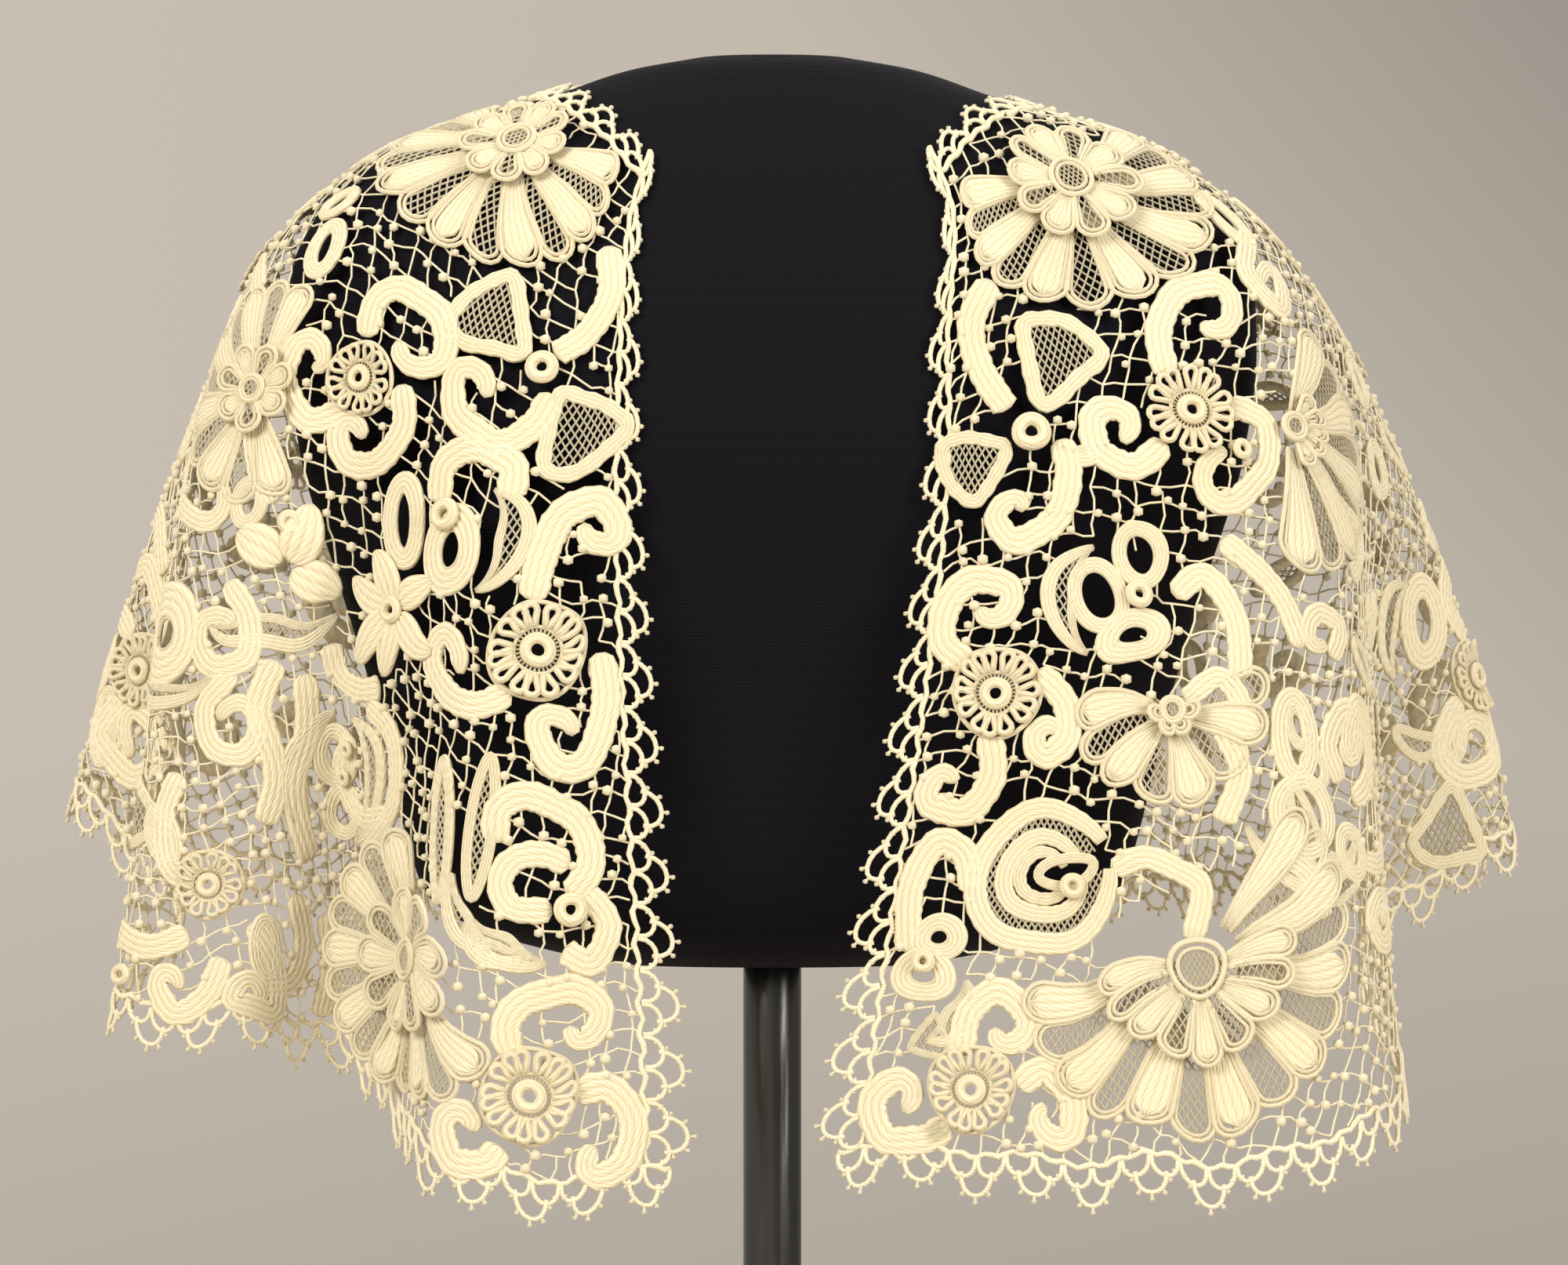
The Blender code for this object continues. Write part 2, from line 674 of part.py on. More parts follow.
def make_form(collection):
    """The torso: a sphere's rings moved out to the form's sections."""
    rings = len(FORM_SECTIONS)
    body = bmesh.new()
    bmesh.ops.create_uvsphere(body, u_segments=FORM_SEGMENTS, v_segments=rings + 1, radius=1.0)
    for vert in body.verts:
        place = math.acos(max(-1.0, min(1.0, vert.co.z))) / math.pi * (rings + 1)
        ring = round(place) - 1
        height, _, _ = FORM_SECTIONS[min(max(ring, 0), rings - 1)]
        if ring in (-1, rings):
            vert.co = Vector((0.0, 0.0, height * MM))
            continue
        heading = math.atan2(-vert.co.x, -vert.co.y)
        radius = float(form_radius(heading, height))
        vert.co = Vector((-radius * math.sin(heading), -radius * math.cos(heading), height)) * MM
    for face in body.faces:
        face.smooth = True
    add_object("form_torso", mesh_from(body, "form_torso"), collection, JERSEY)


def clear_cells(motifs, rows):
    """Cells of the net that no motif touches, the largest first, at most NET_GAPS."""
    discs = motifs.discs()
    found = []
    for column in range(1, COLUMNS - 1):
        for row in range(ROWS_ON_FORM // 2, len(rows) - 2):
            middle = flat_place((column + 0.5) / COLUMNS, (rows[row] + rows[row + 1]) / 2)
            corner = flat_place(column / COLUMNS, rows[row])
            reach = (corner - middle).length
            if all((middle - place).length > radius + reach + NET_CLEARANCE for place, radius in discs):
                found.append((reach, column, row))
    found.sort(key=lambda cell: (-round(cell[0], 1), (cell[1] * 7 + cell[2] * 13) % 17))
    return {(column, row) for _, column, row in found[:NET_GAPS]}


def make_panel(pattern, name, first, last, open_cells, collection):
    """A panel of the ground between two column lines, with its net gaps cut through."""
    rows = pattern.rows
    drape = pattern.drape
    columns = last - first
    panel = bmesh.new()
    bmesh.ops.create_grid(panel, x_segments=columns, y_segments=len(rows) - 1, size=0.5)
    cells = {}
    for vert in panel.verts:
        column = first + round((vert.co.x + 0.5) * columns)
        row = round((0.5 - vert.co.y) * (len(rows) - 1))
        cells[vert] = (column, row)
    for vert, (column, row) in cells.items():
        place = Vector(drape.point(pattern.columns[column], rows[row]))
        step = 1 if column == first else -1
        if column in (first, last) and 0 < column < COLUMNS:
            inner = Vector(drape.point(pattern.columns[column + step], rows[row]))
            place += (inner - place).normalized() * SEAM_GAP / 2
        vert.co = place * MM
    panel.normal_update()
    opened = []
    for face in panel.faces:
        column = min(cells[vert][0] for vert in face.verts)
        row = min(cells[vert][1] for vert in face.verts)
        if (column, row) in open_cells:
            opened.append(face)
    for face in opened:
        side = min(edge.calc_length() for edge in face.edges)
        bmesh.ops.inset_individual(panel, faces=[face], thickness=side * NET_RIB_SHARE)
    bmesh.ops.delete(panel, geom=opened, context="FACES_ONLY")
    bmesh.ops.triangulate(panel, faces=panel.faces, quad_method="FIXED")
    panel.normal_update()
    middle_of_rim = pattern.normal_at[(first, len(rows) - 1)]
    corner = next(vert for vert, cell in cells.items() if cell == (first, len(rows) - 1))
    facing = 1.0 if corner.normal.dot(middle_of_rim) > 0 else -1.0
    places = [vert.co / MM for vert in panel.verts]
    normals = [
        pattern.normal_at[cells[vert]] if vert in cells else vert.normal * facing for vert in panel.verts
    ]
    closed_layer(panel, places, normals, -WALL_THICKNESS / 2, WALL_THICKNESS / 2)
    add_object(name, mesh_from(panel, name), collection, COTTON)


def scallop_strip(name, rim, depth, gap, collection):
    """A strip of open scallops, one for each stretch of the rim, each ending in a tip.

    rim holds, for each point of the ground's edge, its place, the direction off the ground and the normal."""
    stretches = len(rim) - 1
    strip = bmesh.new()
    bmesh.ops.create_grid(strip, x_segments=stretches, y_segments=1, size=0.5)
    normal_of, outer = {}, set()
    for vert in strip.verts:
        place, outward, normal = rim[round((vert.co.x + 0.5) * stretches)]
        if vert.co.y < 0:
            outer.add(vert)
        vert.co = place + outward * (depth * SCALLOP_VALLEY if vert in outer else gap)
        normal_of[vert] = normal
    arches = [edge for edge in strip.edges if edge.verts[0] in outer and edge.verts[1] in outer]
    faces = list(strip.faces)
    strip.normal_update()
    bmesh.ops.inset_individual(strip, faces=faces, thickness=EDGING_RIM)
    bmesh.ops.delete(strip, geom=faces, context="FACES_ONLY")
    beyond = [edge for edge in strip.edges if edge.is_boundary and set(edge.verts) <= outer]
    tips = list(set(arches + beyond))
    halved = bmesh.ops.subdivide_edges(strip, edges=tips, cuts=1)
    for vert in halved["geom_inner"]:
        if isinstance(vert, bmesh.types.BMVert):
            before, after = nearest_stretch(rim, vert.co)
            vert.co += (before[1] + after[1]).normalized() * depth * (1 - SCALLOP_VALLEY)
            normal_of[vert] = (before[2] + after[2]).normalized()
    bmesh.ops.triangulate(strip, faces=strip.faces)
    places = [vert.co.copy() for vert in strip.verts]
    normals = []
    for vert in strip.verts:
        before, after = nearest_stretch(rim, vert.co)
        normals.append(normal_of.get(vert, (before[2] + after[2]).normalized()))
    closed_layer(strip, places, normals, -WALL_THICKNESS / 2, WALL_THICKNESS / 2)
    add_object(name, mesh_from(strip, name), collection, COTTON)


def nearest_stretch(rim, point):
    """The two rim points on either side of a point."""
    k = min(range(len(rim) - 1), key=lambda i: ((rim[i][0] + rim[i + 1][0]) / 2 - point).length)
    return rim[k], rim[k + 1]


def with_end_gaps(rim, gap):
    """The rim with its first and last points drawn in."""
    (first, *first_ways), (second, *_) = rim[0], rim[1]
    (last, *last_ways), (before, *_) = rim[-1], rim[-2]
    start = (first + (second - first).normalized() * gap, *first_ways)
    end = (last + (before - last).normalized() * gap, *last_ways)
    return [start, *rim[1:-1], end]


def hem_rim(pattern, first, last):
    """The hem between two column lines, carried on round the front corners to the front edging's width."""
    drape = pattern.drape
    corner = FRONT_EDGING_DEPTH / drape.width(1.0)
    stops = [(pattern.columns[column], column) for column in range(first, last + 1)]
    stops = [(-corner, 0)] * (first == 0) + stops + [(1.0 + corner, COLUMNS)] * (last == COLUMNS)
    rim = []
    for u, column in stops:
        place = Vector(drape.point(u, 1.0))
        down = Vector(drape.point(u, 1.0 + PAST_V)) - place
        rim.append((place, down.normalized(), pattern.normal_at[(column, len(pattern.rows) - 1)]))
    return with_end_gaps(rim, SEAM_GAP / 2)


def front_rim(pattern, side):
    """A front edge, from above the neck's corner down to the hem."""
    drape = pattern.drape
    u, past, column = (0.0, -PAST_U, 0) if side == "left" else (1.0, 1.0 + PAST_U, COLUMNS)
    levels = [(-NECK_EDGING_DEPTH / PATTERN_DEPTH, 0), *((v, row) for row, v in enumerate(pattern.rows))]
    rim = []
    for v, row in levels:
        place = Vector(drape.point(u, v))
        outward = Vector(drape.point(past, v)) - place
        rim.append((place, outward.normalized(), pattern.normal_at[(column, row)]))
    return rim


def neck_rim(pattern):
    """The neckline at each second column line, with the directions up the form."""
    drape = pattern.drape
    rim = []
    for column in range(0, COLUMNS + 1, 2):
        u = pattern.columns[column]
        place = Vector(drape.point(u, 0.0))
        up = Vector(drape.point(u, -PAST_V)) - place
        rim.append((place, up.normalized(), pattern.normal_at[(column, 0)]))
    return with_end_gaps(rim, SEAM_GAP)


def make_edging(pattern, collection):
    """Scallops down both fronts, round the neck and along the hem of each panel."""
    for side in ("left", "right"):
        rim = front_rim(pattern, side)
        scallop_strip(f"edging_front_{side}", rim, FRONT_EDGING_DEPTH, SEAM_GAP, collection)
    scallop_strip("edging_neck", neck_rim(pattern), NECK_EDGING_DEPTH, NECK_SEAM_GAP, collection)
    for name, first, last in PANEL_COLUMNS:
        strip_name = name.replace("ground", "edging_hem")
        scallop_strip(strip_name, hem_rim(pattern, first, last), HEM_EDGING_DEPTH, SEAM_GAP, collection)


def make_motifs(pattern, motifs, collection):
    """Flowers in two layers, roses and pods, each lying on the wall."""
    base = WALL_THICKNESS / 2 + LAYER_GAP
    second = base + LAYER_THICKNESS + LAYER_GAP
    for name, place, fan, lobes in motifs.flowers:
        plain = [ellipse(place, fan, fan, 0.0, ROUND_SIDES)]
        outlines = lobed_outlines(place, fan, lobes) if lobes else plain
        raised_layer(pattern, name, outlines, base, collection)
        upper = ellipse(place, fan * UPPER_SHARE, fan * UPPER_SHARE, 0.0, UPPER_SIDES)
        raised_layer(pattern, f"{name}_upper", [upper], second, collection)
    for name, place, radius in motifs.roses:
        raised_layer(pattern, name, [ellipse(place, radius, radius, 0.0, ROUND_SIDES)], base, collection)
    for name, place, wide, high, turn, *_ in motifs.pods:
        spin = pattern_heading(place) + math.radians(turn)
        raised_layer(pattern, name, [ellipse(place, wide, high, spin, POD_SIDES)], base, collection)


def pattern_heading(place):
    """The turn in the flat pattern that puts +Y towards the neck at this place."""
    return math.atan2(place.x, -place.y)


def make_hole_cutters(pattern, motifs, collection):
    """A prism through the wall and the pod at each pod's open centre."""
    for name, place, _, _, turn, wide, high in motifs.pods:
        spin = pattern_heading(place) + math.radians(turn)
        middle = pattern.draped(place, 0.0)
        turned = Matrix.Rotation(spin, 3, "Z")
        along = pattern.draped(place + turned @ Vector((SLOPE_STEP, 0.0, 0.0)), 0.0)
        across = pattern.draped(place + turned @ Vector((0.0, SLOPE_STEP, 0.0)), 0.0)
        x_axis = (along - middle).normalized()
        z_axis = x_axis.cross(across - middle).normalized()
        y_axis = z_axis.cross(x_axis)
        prism = bmesh.new()
        bmesh.ops.create_cone(
            prism, cap_ends=True, segments=HOLE_SIDES, radius1=1.0, radius2=1.0, depth=CUTTER_DEPTH * MM
        )
        for vert in prism.verts:
            vert.co.x *= wide * MM
            vert.co.y *= high * MM
        cutter = bpy.data.objects.new(f"cut_{name}", mesh_from(prism, f"cut_{name}"))
        axes = Matrix((x_axis, y_axis, z_axis)).transposed().to_4x4()
        cutter.matrix_world = Matrix.Translation(middle * MM) @ axes
        cutter.hide_render = True
        cutter.display_type = "WIRE"
        collection.objects.link(cutter)


def cut_holes(collection, cutters):
    """Adds a cut for every prism to the wall panels and the pods that it passes through."""
    for cutter in cutters.objects:
        centre = cutter.matrix_world.translation
        for obj in collection.objects:
            is_target = obj.name.startswith("ground_") or obj.name == cutter.name[len("cut_"):]
            if not is_target:
                continue
            near = min((vert.co - centre).length for vert in obj.data.vertices)
            if near > CUTTER_REACH * MM:
                continue
            cut = obj.modifiers.new(cutter.name, "BOOLEAN")
            cut.operation = "DIFFERENCE"
            cut.object = cutter


def main():
    clear_scene()
    collection = new_collection(COLLECTION_NAME)
    cutters = new_collection(CUTTER_COLLECTION_NAME)
    make_stand(collection)
    make_form(collection)
    drape = Drape()
    pattern = Pattern(drape)
    motifs = Motifs(drape)
    open_cells = clear_cells(motifs, pattern.rows)
    for name, first, last in PANEL_COLUMNS:
        make_panel(pattern, name, first, last, open_cells, collection)
    make_edging(pattern, collection)
    make_motifs(pattern, motifs, collection)
    make_hole_cutters(pattern, motifs, cutters)
    cut_holes(collection, cutters)
    pattern.flat.free()


if __name__ == "__main__":
    main()
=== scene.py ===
"""The look of an Irish crochet cape collar that lies on a limbless dress form with a pole and a round foot.

The collar is drafted flat, as half of a ring, and draped by a table of hem folds. Every motif is worked flat in
millimetres and laid on the drape, the ground net fills what the motifs leave, and the edging follows the rim.
"""

import logging
import math
from dataclasses import dataclass, field
from enum import Enum
from typing import Iterable, Optional, Sequence

import bmesh
import bpy
import numpy as np
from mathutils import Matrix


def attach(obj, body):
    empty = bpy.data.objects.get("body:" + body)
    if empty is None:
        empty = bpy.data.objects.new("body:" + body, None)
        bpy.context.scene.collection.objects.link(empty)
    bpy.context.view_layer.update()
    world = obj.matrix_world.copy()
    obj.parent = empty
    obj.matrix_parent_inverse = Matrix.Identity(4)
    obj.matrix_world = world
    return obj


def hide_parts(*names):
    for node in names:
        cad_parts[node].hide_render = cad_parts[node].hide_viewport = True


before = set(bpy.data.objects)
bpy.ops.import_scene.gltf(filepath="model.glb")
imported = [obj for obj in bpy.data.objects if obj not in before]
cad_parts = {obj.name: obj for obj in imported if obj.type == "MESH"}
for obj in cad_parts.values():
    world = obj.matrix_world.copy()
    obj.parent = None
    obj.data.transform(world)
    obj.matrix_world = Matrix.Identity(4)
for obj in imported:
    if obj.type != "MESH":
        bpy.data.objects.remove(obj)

LOG = logging.getLogger("lace_collar")
MM = 0.001
ROOT = "root"

# The form's cross-sections, from the top down: height, half width, half depth
FORM_SECTIONS = (
    (656.0, 32.0, 22.0), (651.0, 58.0, 35.0), (642.0, 84.0, 48.0), (632.0, 112.0, 58.0),
    (620.0, 147.0, 68.0), (605.0, 170.0, 79.0), (590.0, 182.0, 87.0), (570.0, 190.0, 95.0),
    (540.0, 191.0, 104.0), (500.0, 186.0, 108.0), (450.0, 171.0, 103.0), (400.0, 156.0, 94.0),
    (345.0, 143.0, 88.0), (328.0, 137.0, 83.0), (315.0, 120.0, 72.0), (305.0, 88.0, 54.0),
    (300.0, 62.0, 38.0),
)
FORM_SQUARENESS = 2.3

# The flat pattern, part of a ring, and the drape's samples
NECK_RADIUS = 131.0
PATTERN_DEPTH = 368.0
PATTERN_SPREAD = 3.2
CLEAR_OF_FORM = 2.1
DRAPE_COLUMNS = 640
DRAPE_ROWS = 160
FORM_SAMPLES = 60
FALL_SAMPLES = 120
LINE_SAMPLES = 2000
CURVE_REFINING = 8
START_REACH = 0.8
SLOPE_STEP = 0.5
SLOPE_TURN = 0.0025
PROBE_U = 0.01
PROBE_V = 0.02

# Neckline on the form: heading in degrees from the front by way of the viewer's left, and height
NECKLINE = (
    (32.0, 602.0), (46.0, 620.0), (68.0, 635.0), (100.0, 641.0), (180.0, 640.0),
    (262.0, 636.0), (294.0, 630.0), (308.0, 620.0), (320.0, 604.0),
)
# Where the cloth leaves the form: heading and height
LEAVING_LINE = (
    (29.0, 530.0), (50.0, 565.0), (75.0, 602.0), (90.0, 606.0), (120.0, 590.0), (180.0, 560.0),
    (240.0, 590.0), (270.0, 606.0), (285.0, 602.0), (308.0, 565.0), (327.0, 530.0),
)
# How far the stiff lace stands out over the shoulder's end: heading and distance
BELLY = (
    (29.0, 0.0), (60.0, 7.0), (95.0, 13.0), (130.0, 9.0), (180.0, 6.0), (230.0, 11.0),
    (265.0, 20.0), (300.0, 9.0), (327.0, 0.0),
)
# Folds along the hem, round from the viewer's left front edge: x, y, z
HEM_FOLDS = (
    (-46.0, -128.0, 231.0), (-88.0, -140.0, 231.0), (-124.0, -132.0, 238.0), (-142.0, -88.0, 258.0),
    (-168.0, -40.0, 276.0), (-205.0, -72.0, 287.0), (-252.0, -56.0, 291.0), (-232.0, -6.0, 322.0),
    (-279.0, 30.0, 372.0), (-251.0, 86.0, 352.0), (-192.0, 102.0, 330.0), (-152.0, 162.0, 324.0),
    (-98.0, 138.0, 323.0), (-50.0, 176.0, 320.0), (0.0, 152.0, 321.0), (52.0, 176.0, 320.0),
    (100.0, 138.0, 323.0), (156.0, 162.0, 324.0), (198.0, 102.0, 328.0), (257.0, 80.0, 335.0),
    (296.0, 27.0, 353.0), (232.0, -18.0, 316.0), (236.0, -98.0, 261.0), (205.0, -134.0, 243.0),
    (160.0, -142.0, 236.0), (85.0, -140.0, 238.0), (33.0, -128.0, 242.0),
)

# Scrolls that the photograph shows: half width in mm, guide points in pixels, and the curl's centre or none
SCROLLS = (
    (5.4, ((468, 432), (480, 385), (515, 368), (558, 400)), (530, 432)),
    (5.2, ((440, 520), (390, 530), (366, 485), (380, 440)), (402, 455)),
    (5.4, ((512, 490), (514, 545), (482, 590), (446, 590)), (454, 562)),
    (5.2, ((776, 318), (779, 375), (755, 420), (712, 452)), None),
    (5.6, ((704, 500), (682, 545), (625, 562), (581, 532), (580, 495)), (606, 494)),
    (6.0, ((562, 640), (566, 592), (610, 571), (654, 594), (652, 638)), None),
    (6.0, ((675, 768), (690, 705), (725, 655), (765, 637), (788, 668)), (759, 674)),
    (5.4, ((655, 882), (612, 898), (568, 884), (553, 848)), (577, 842)),
    (5.6, ((765, 835), (772, 900), (748, 972), (704, 976), (690, 940)), (716, 938)),
    (5.6, ((632, 1075), (636, 1036), (683, 1018), (733, 1046), (752, 1107), (728, 1146)), None),
    (5.0, ((706, 1156), (654, 1158), (636, 1130), (654, 1100), (697, 1089), (724, 1106)), None),
    (5.2, ((750, 1140), (778, 1180), (756, 1226), (716, 1214)), None),
    (5.8, ((654, 1345), (642, 1312), (672, 1272), (722, 1262), (764, 1284)), (742, 1304)),
    (5.8, ((733, 1393), (775, 1386), (806, 1425), (803, 1476)), (770, 1472)),
    (5.8, ((640, 1461), (615, 1492), (578, 1488), (563, 1452)), (585, 1442)),
    (5.0, ((200, 650), (240, 660), (282, 700)), None),
    (5.0, ((285, 1222), (265, 1270), (225, 1288), (200, 1258)), (222, 1252)),
    (4.6, ((322, 545), (328, 590), (350, 640)), None),
    (5.4, ((1262, 360), (1238, 405), (1246, 460), (1285, 525)), None),
    (5.4, ((1350, 560), (1362, 600), (1342, 660), (1300, 690), (1272, 668)), (1290, 654)),
    (5.6, ((1487, 568), (1445, 594), (1400, 576), (1393, 535)), (1424, 547)),
    (5.6, ((1485, 478), (1476, 420), (1500, 377), (1544, 364)), (1543, 398)),
    (5.0, ((1570, 515), (1615, 540), (1612, 598), (1580, 632)), (1564, 602)),
    (5.6, ((1238, 850), (1205, 820), (1206, 770), (1244, 736), (1280, 746)), (1262, 770)),
    (5.2, ((1322, 858), (1360, 900), (1363, 944), (1336, 964)), (1338, 938)),
    (5.4, ((1262, 938), (1262, 995), (1226, 1038), (1190, 1026)), (1207, 1006)),
    (5.4, ((1223, 1343), (1235, 1286), (1275, 1265), (1311, 1296)), (1286, 1314)),
    (5.4, ((1296, 1386), (1335, 1368), (1370, 1400), (1366, 1438)), (1337, 1426)),
    (5.6, ((1210, 1430), (1175, 1464), (1130, 1450), (1115, 1408)), (1143, 1406)),
    (4.4, ((1510, 890), (1557, 866), (1598, 925)), None),
    (5.2, ((1158, 1212), (1164, 1130), (1194, 1072), (1228, 1085), (1244, 1138)), None),
    (4.6, ((1418, 1107), (1470, 1094), (1526, 1128), (1519, 1205)), None),
    (5.0, ((1498, 757), (1531, 732), (1574, 790), (1581, 862)), None),
    (4.8, ((1585, 290), (1590, 350), (1630, 392)), (1616, 366)),
    (4.4, ((1700, 842), (1706, 802), (1680, 781)), (1680, 806)),
    (5.0, ((1710, 1002), (1700, 955), (1735, 918), (1768, 942)), (1741, 955)),
    (4.6, ((449, 940), (436, 985), (452, 1030), (500, 1048)), None),
    (4.4, ((1628, 1090), (1668, 1120), (1690, 1170)), None),
    (5.4, ((350, 845), (330, 905), (352, 985), (340, 1050)), None),
    (5.2, ((385, 860), (392, 930), (372, 1010), (392, 1100)), None),
    (4.8, ((470, 900), (505, 955), (500, 1040), (462, 1085)), None),
    (5.0, ((228, 985), (210, 1040), (222, 1105), (262, 1120)), None),
    (4.8, ((318, 1180), (352, 1230), (345, 1290), (300, 1312)), (322, 1270)),
    (5.2, ((150, 720), (196, 700), (250, 735), (262, 800)), None),
    (4.6, ((300, 860), (262, 905), (270, 955), (306, 960)), (296, 925)),
    (4.6, ((415, 1160), (425, 1230), (410, 1300)), None),
    (5.0, ((1700, 640), (1735, 690), (1722, 735)), None),
    (5.0, ((1560, 690), (1600, 720), (1640, 770), (1660, 830)), None),
    (4.8, ((1722, 1018), (1772, 1000), (1788, 950), (1760, 915)), (1748, 950)),
    (4.8, ((1890, 850), (1910, 930), (1905, 985)), None),
    (4.6, ((1740, 1100), (1790, 1120), (1850, 1100)), None),
    (4.8, ((1560, 930), (1580, 990), (1562, 1045)), None),
    (4.4, ((250, 560), (232, 610), (252, 660)), (262, 625)),
    (5.0, ((1690, 360), (1722, 405), (1762, 420)), (1735, 440)),
    (5.0, ((290, 740), (318, 790), (312, 840), (276, 852)), (284, 812)),
    (5.2, ((150, 1180), (190, 1205), (240, 1190)), None),
    (5.0, ((375, 1140), (385, 1200), (372, 1250), (335, 1262)), None),
    (4.8, ((420, 820), (440, 862), (484, 880)), None),
    (5.0, ((230, 400), (262, 372), (300, 385)), (284, 412)),
    (5.0, ((300, 300), (330, 330), (332, 372)), None),
)
# Roses: place in the photograph, outer radius in mm, whether an outer cord rings it
ROSES = (
    ("rose_1_left", (462, 478), 14.0, True), ("rose_2_left", (688, 830), 18.6, True),
    ("rose_3_left", (671, 1400), 18.0, True), ("rose_4_right", (1517, 525), 16.8, False),
    ("rose_5_right", (1268, 886), 17.0, True), ("rose_6_right", (1243, 1389), 16.0, True),
    ("rose_side_left", (270, 1132), 13.0, True),
)
# Closed loops of ribbed band: place, half width, half height, turn in degrees, hole half width, half height
LOOPS = (
    ((576, 703), 13.0, 18.0, 0.0, 4.4, 7.0), ((519, 664), 9.6, 19.0, 8.0, 3.4, 10.5),
    ((417, 315), 9.0, 14.0, 20.0, 3.0, 7.0), ((1451, 708), 11.0, 13.5, 0.0, 5.6, 7.6),
    ((1399, 762), 11.5, 15.0, 15.0, 6.2, 9.2), ((1561, 280), 8.0, 17.0, 8.0, 2.6, 10.0),
    ((1180, 1246), 12.5, 10.5, 0.0, 4.6, 3.6), ((1815, 790), 14.5, 20.0, -10.0, 5.0, 9.0),
    ((211, 810), 17.0, 21.0, 0.0, 4.8, 6.0), ((1446, 812), 15.0, 10.0, 12.0, 6.0, 3.2),
    ((1199, 1195), 11.0, 9.0, 20.0, 3.6, 2.8), ((1674, 979), 7.5, 9.0, 0.0, 3.0, 4.0),
    ((1848, 937), 6.0, 12.0, 0.0, 2.0, 7.0), ((1652, 924), 6.5, 10.0, 10.0, 2.2, 5.0),
    ((434, 262), 7.0, 10.0, -20.0, 2.0, 5.0), ((205, 1067), 8.0, 13.0, 30.0, 2.4, 7.0),
    ((430, 962), 10.0, 13.0, 10.0, 4.0, 6.5),
    ((442, 1030), 10.0, 12.0, -12.0, 4.2, 6.0), ((1664, 1040), 15.0, 17.0, 0.0, 8.0, 10.0),
    ((1648, 936), 11.0, 19.0, -6.0, 3.4, 11.0), ((1853, 936), 8.0, 13.0, -8.0, 2.4, 7.0),
    ((338, 1207), 7.5, 14.0, 10.0, 2.2, 8.0), ((320, 640), 8.0, 11.0, 0.0, 3.0, 5.0),
    ((1755, 600), 9.0, 13.0, 0.0, 3.2, 6.0), ((1720, 1090), 9.0, 12.0, 10.0, 3.6, 5.0),
)
# Long leaves with a mesh slit: place, half width, half height, turn in degrees
LEAVES = (
    ((566, 1060), 6.6, 29.0, 3.0), ((610, 1058), 6.6, 29.0, -4.0), ((137, 925), 8.0, 16.0, 10.0),
    ((1668, 1060), 6.0, 20.0, 12.0),
)
# Mesh crescents: place, radius, start and end angle in degrees, width at the middle
CRESCENTS = (
    ((603, 688), 19.5, -80.0, 74.0, 10.0), ((668, 1172), 18.0, 175.0, 300.0, 9.0),
    ((1404, 764), 20.5, 95.0, 250.0, 9.0), ((1190, 1272), 15.0, -95.0, 40.0, 8.5),
    ((1800, 812), 22.0, 90.0, 235.0, 10.0), ((1380, 560), 9.0, 200.0, 340.0, 4.0),
    ((440, 990), 25.0, -75.0, 75.0, 9.0), ((440, 990), 25.0, 95.0, 215.0, 8.0), ((211, 812), 27.0, 170.0, 330.0, 7.0),
    ((1664, 1048), 24.0, 190.0, 350.0, 6.0), ((620, 1150), 17.0, 150.0, 285.0, 8.0),
    ((366, 735), 26.0, 200.0, 320.0, 9.0), ((640, 1180), 14.0, 170.0, 320.0, 6.0),
)
# Fans of mesh with a thick rim: apex and middle of the wide end in pixels, spread in degrees
FANS = (
    ((680, 466), (594, 374), 60.0), ((712, 482), (760, 590), 62.0), ((1322, 530), (1366, 404), 60.0),
    ((1296, 560), (1206, 622), 60.0), ((180, 975), (168, 1082), 66.0), ((1850, 985), (1842, 1108), 62.0),
    ((1200, 1290), (1180, 1346), 54.0), ((1700, 1165), (1716, 1100), 50.0),
)
# Small ring knots where motifs meet: place, radius
KNOTS = (
    ((692, 471), 6.6), ((1315, 552), 7.6), ((576, 655), 6.4), ((1451, 761), 5.6), ((723, 1158), 6.6),
    ((1180, 1222), 4.6), ((162, 1239), 4.4), ((505, 779), 5.4), ((372, 667), 5.0), ((1366, 1129), 5.0),
    ((449, 956), 3.6), ((447, 987), 3.6), ((1580, 575), 4.4),
)
# Round shells of mesh: node, place, radius, where the gap points, its width in degrees
SHELLS = (
    ("flower_shell_right", (1333, 1120), 29.0, 14.0, 26.0),
)
# Whirls of leaf petals: place, petal length, petals, first angle, sweep, lift
WHIRLS = (
    ((505, 779), 25.0, 6, 20.0, 330.0, 1.5), ((366, 722), 25.0, 3, -60.0, 240.0, 2.5),
)
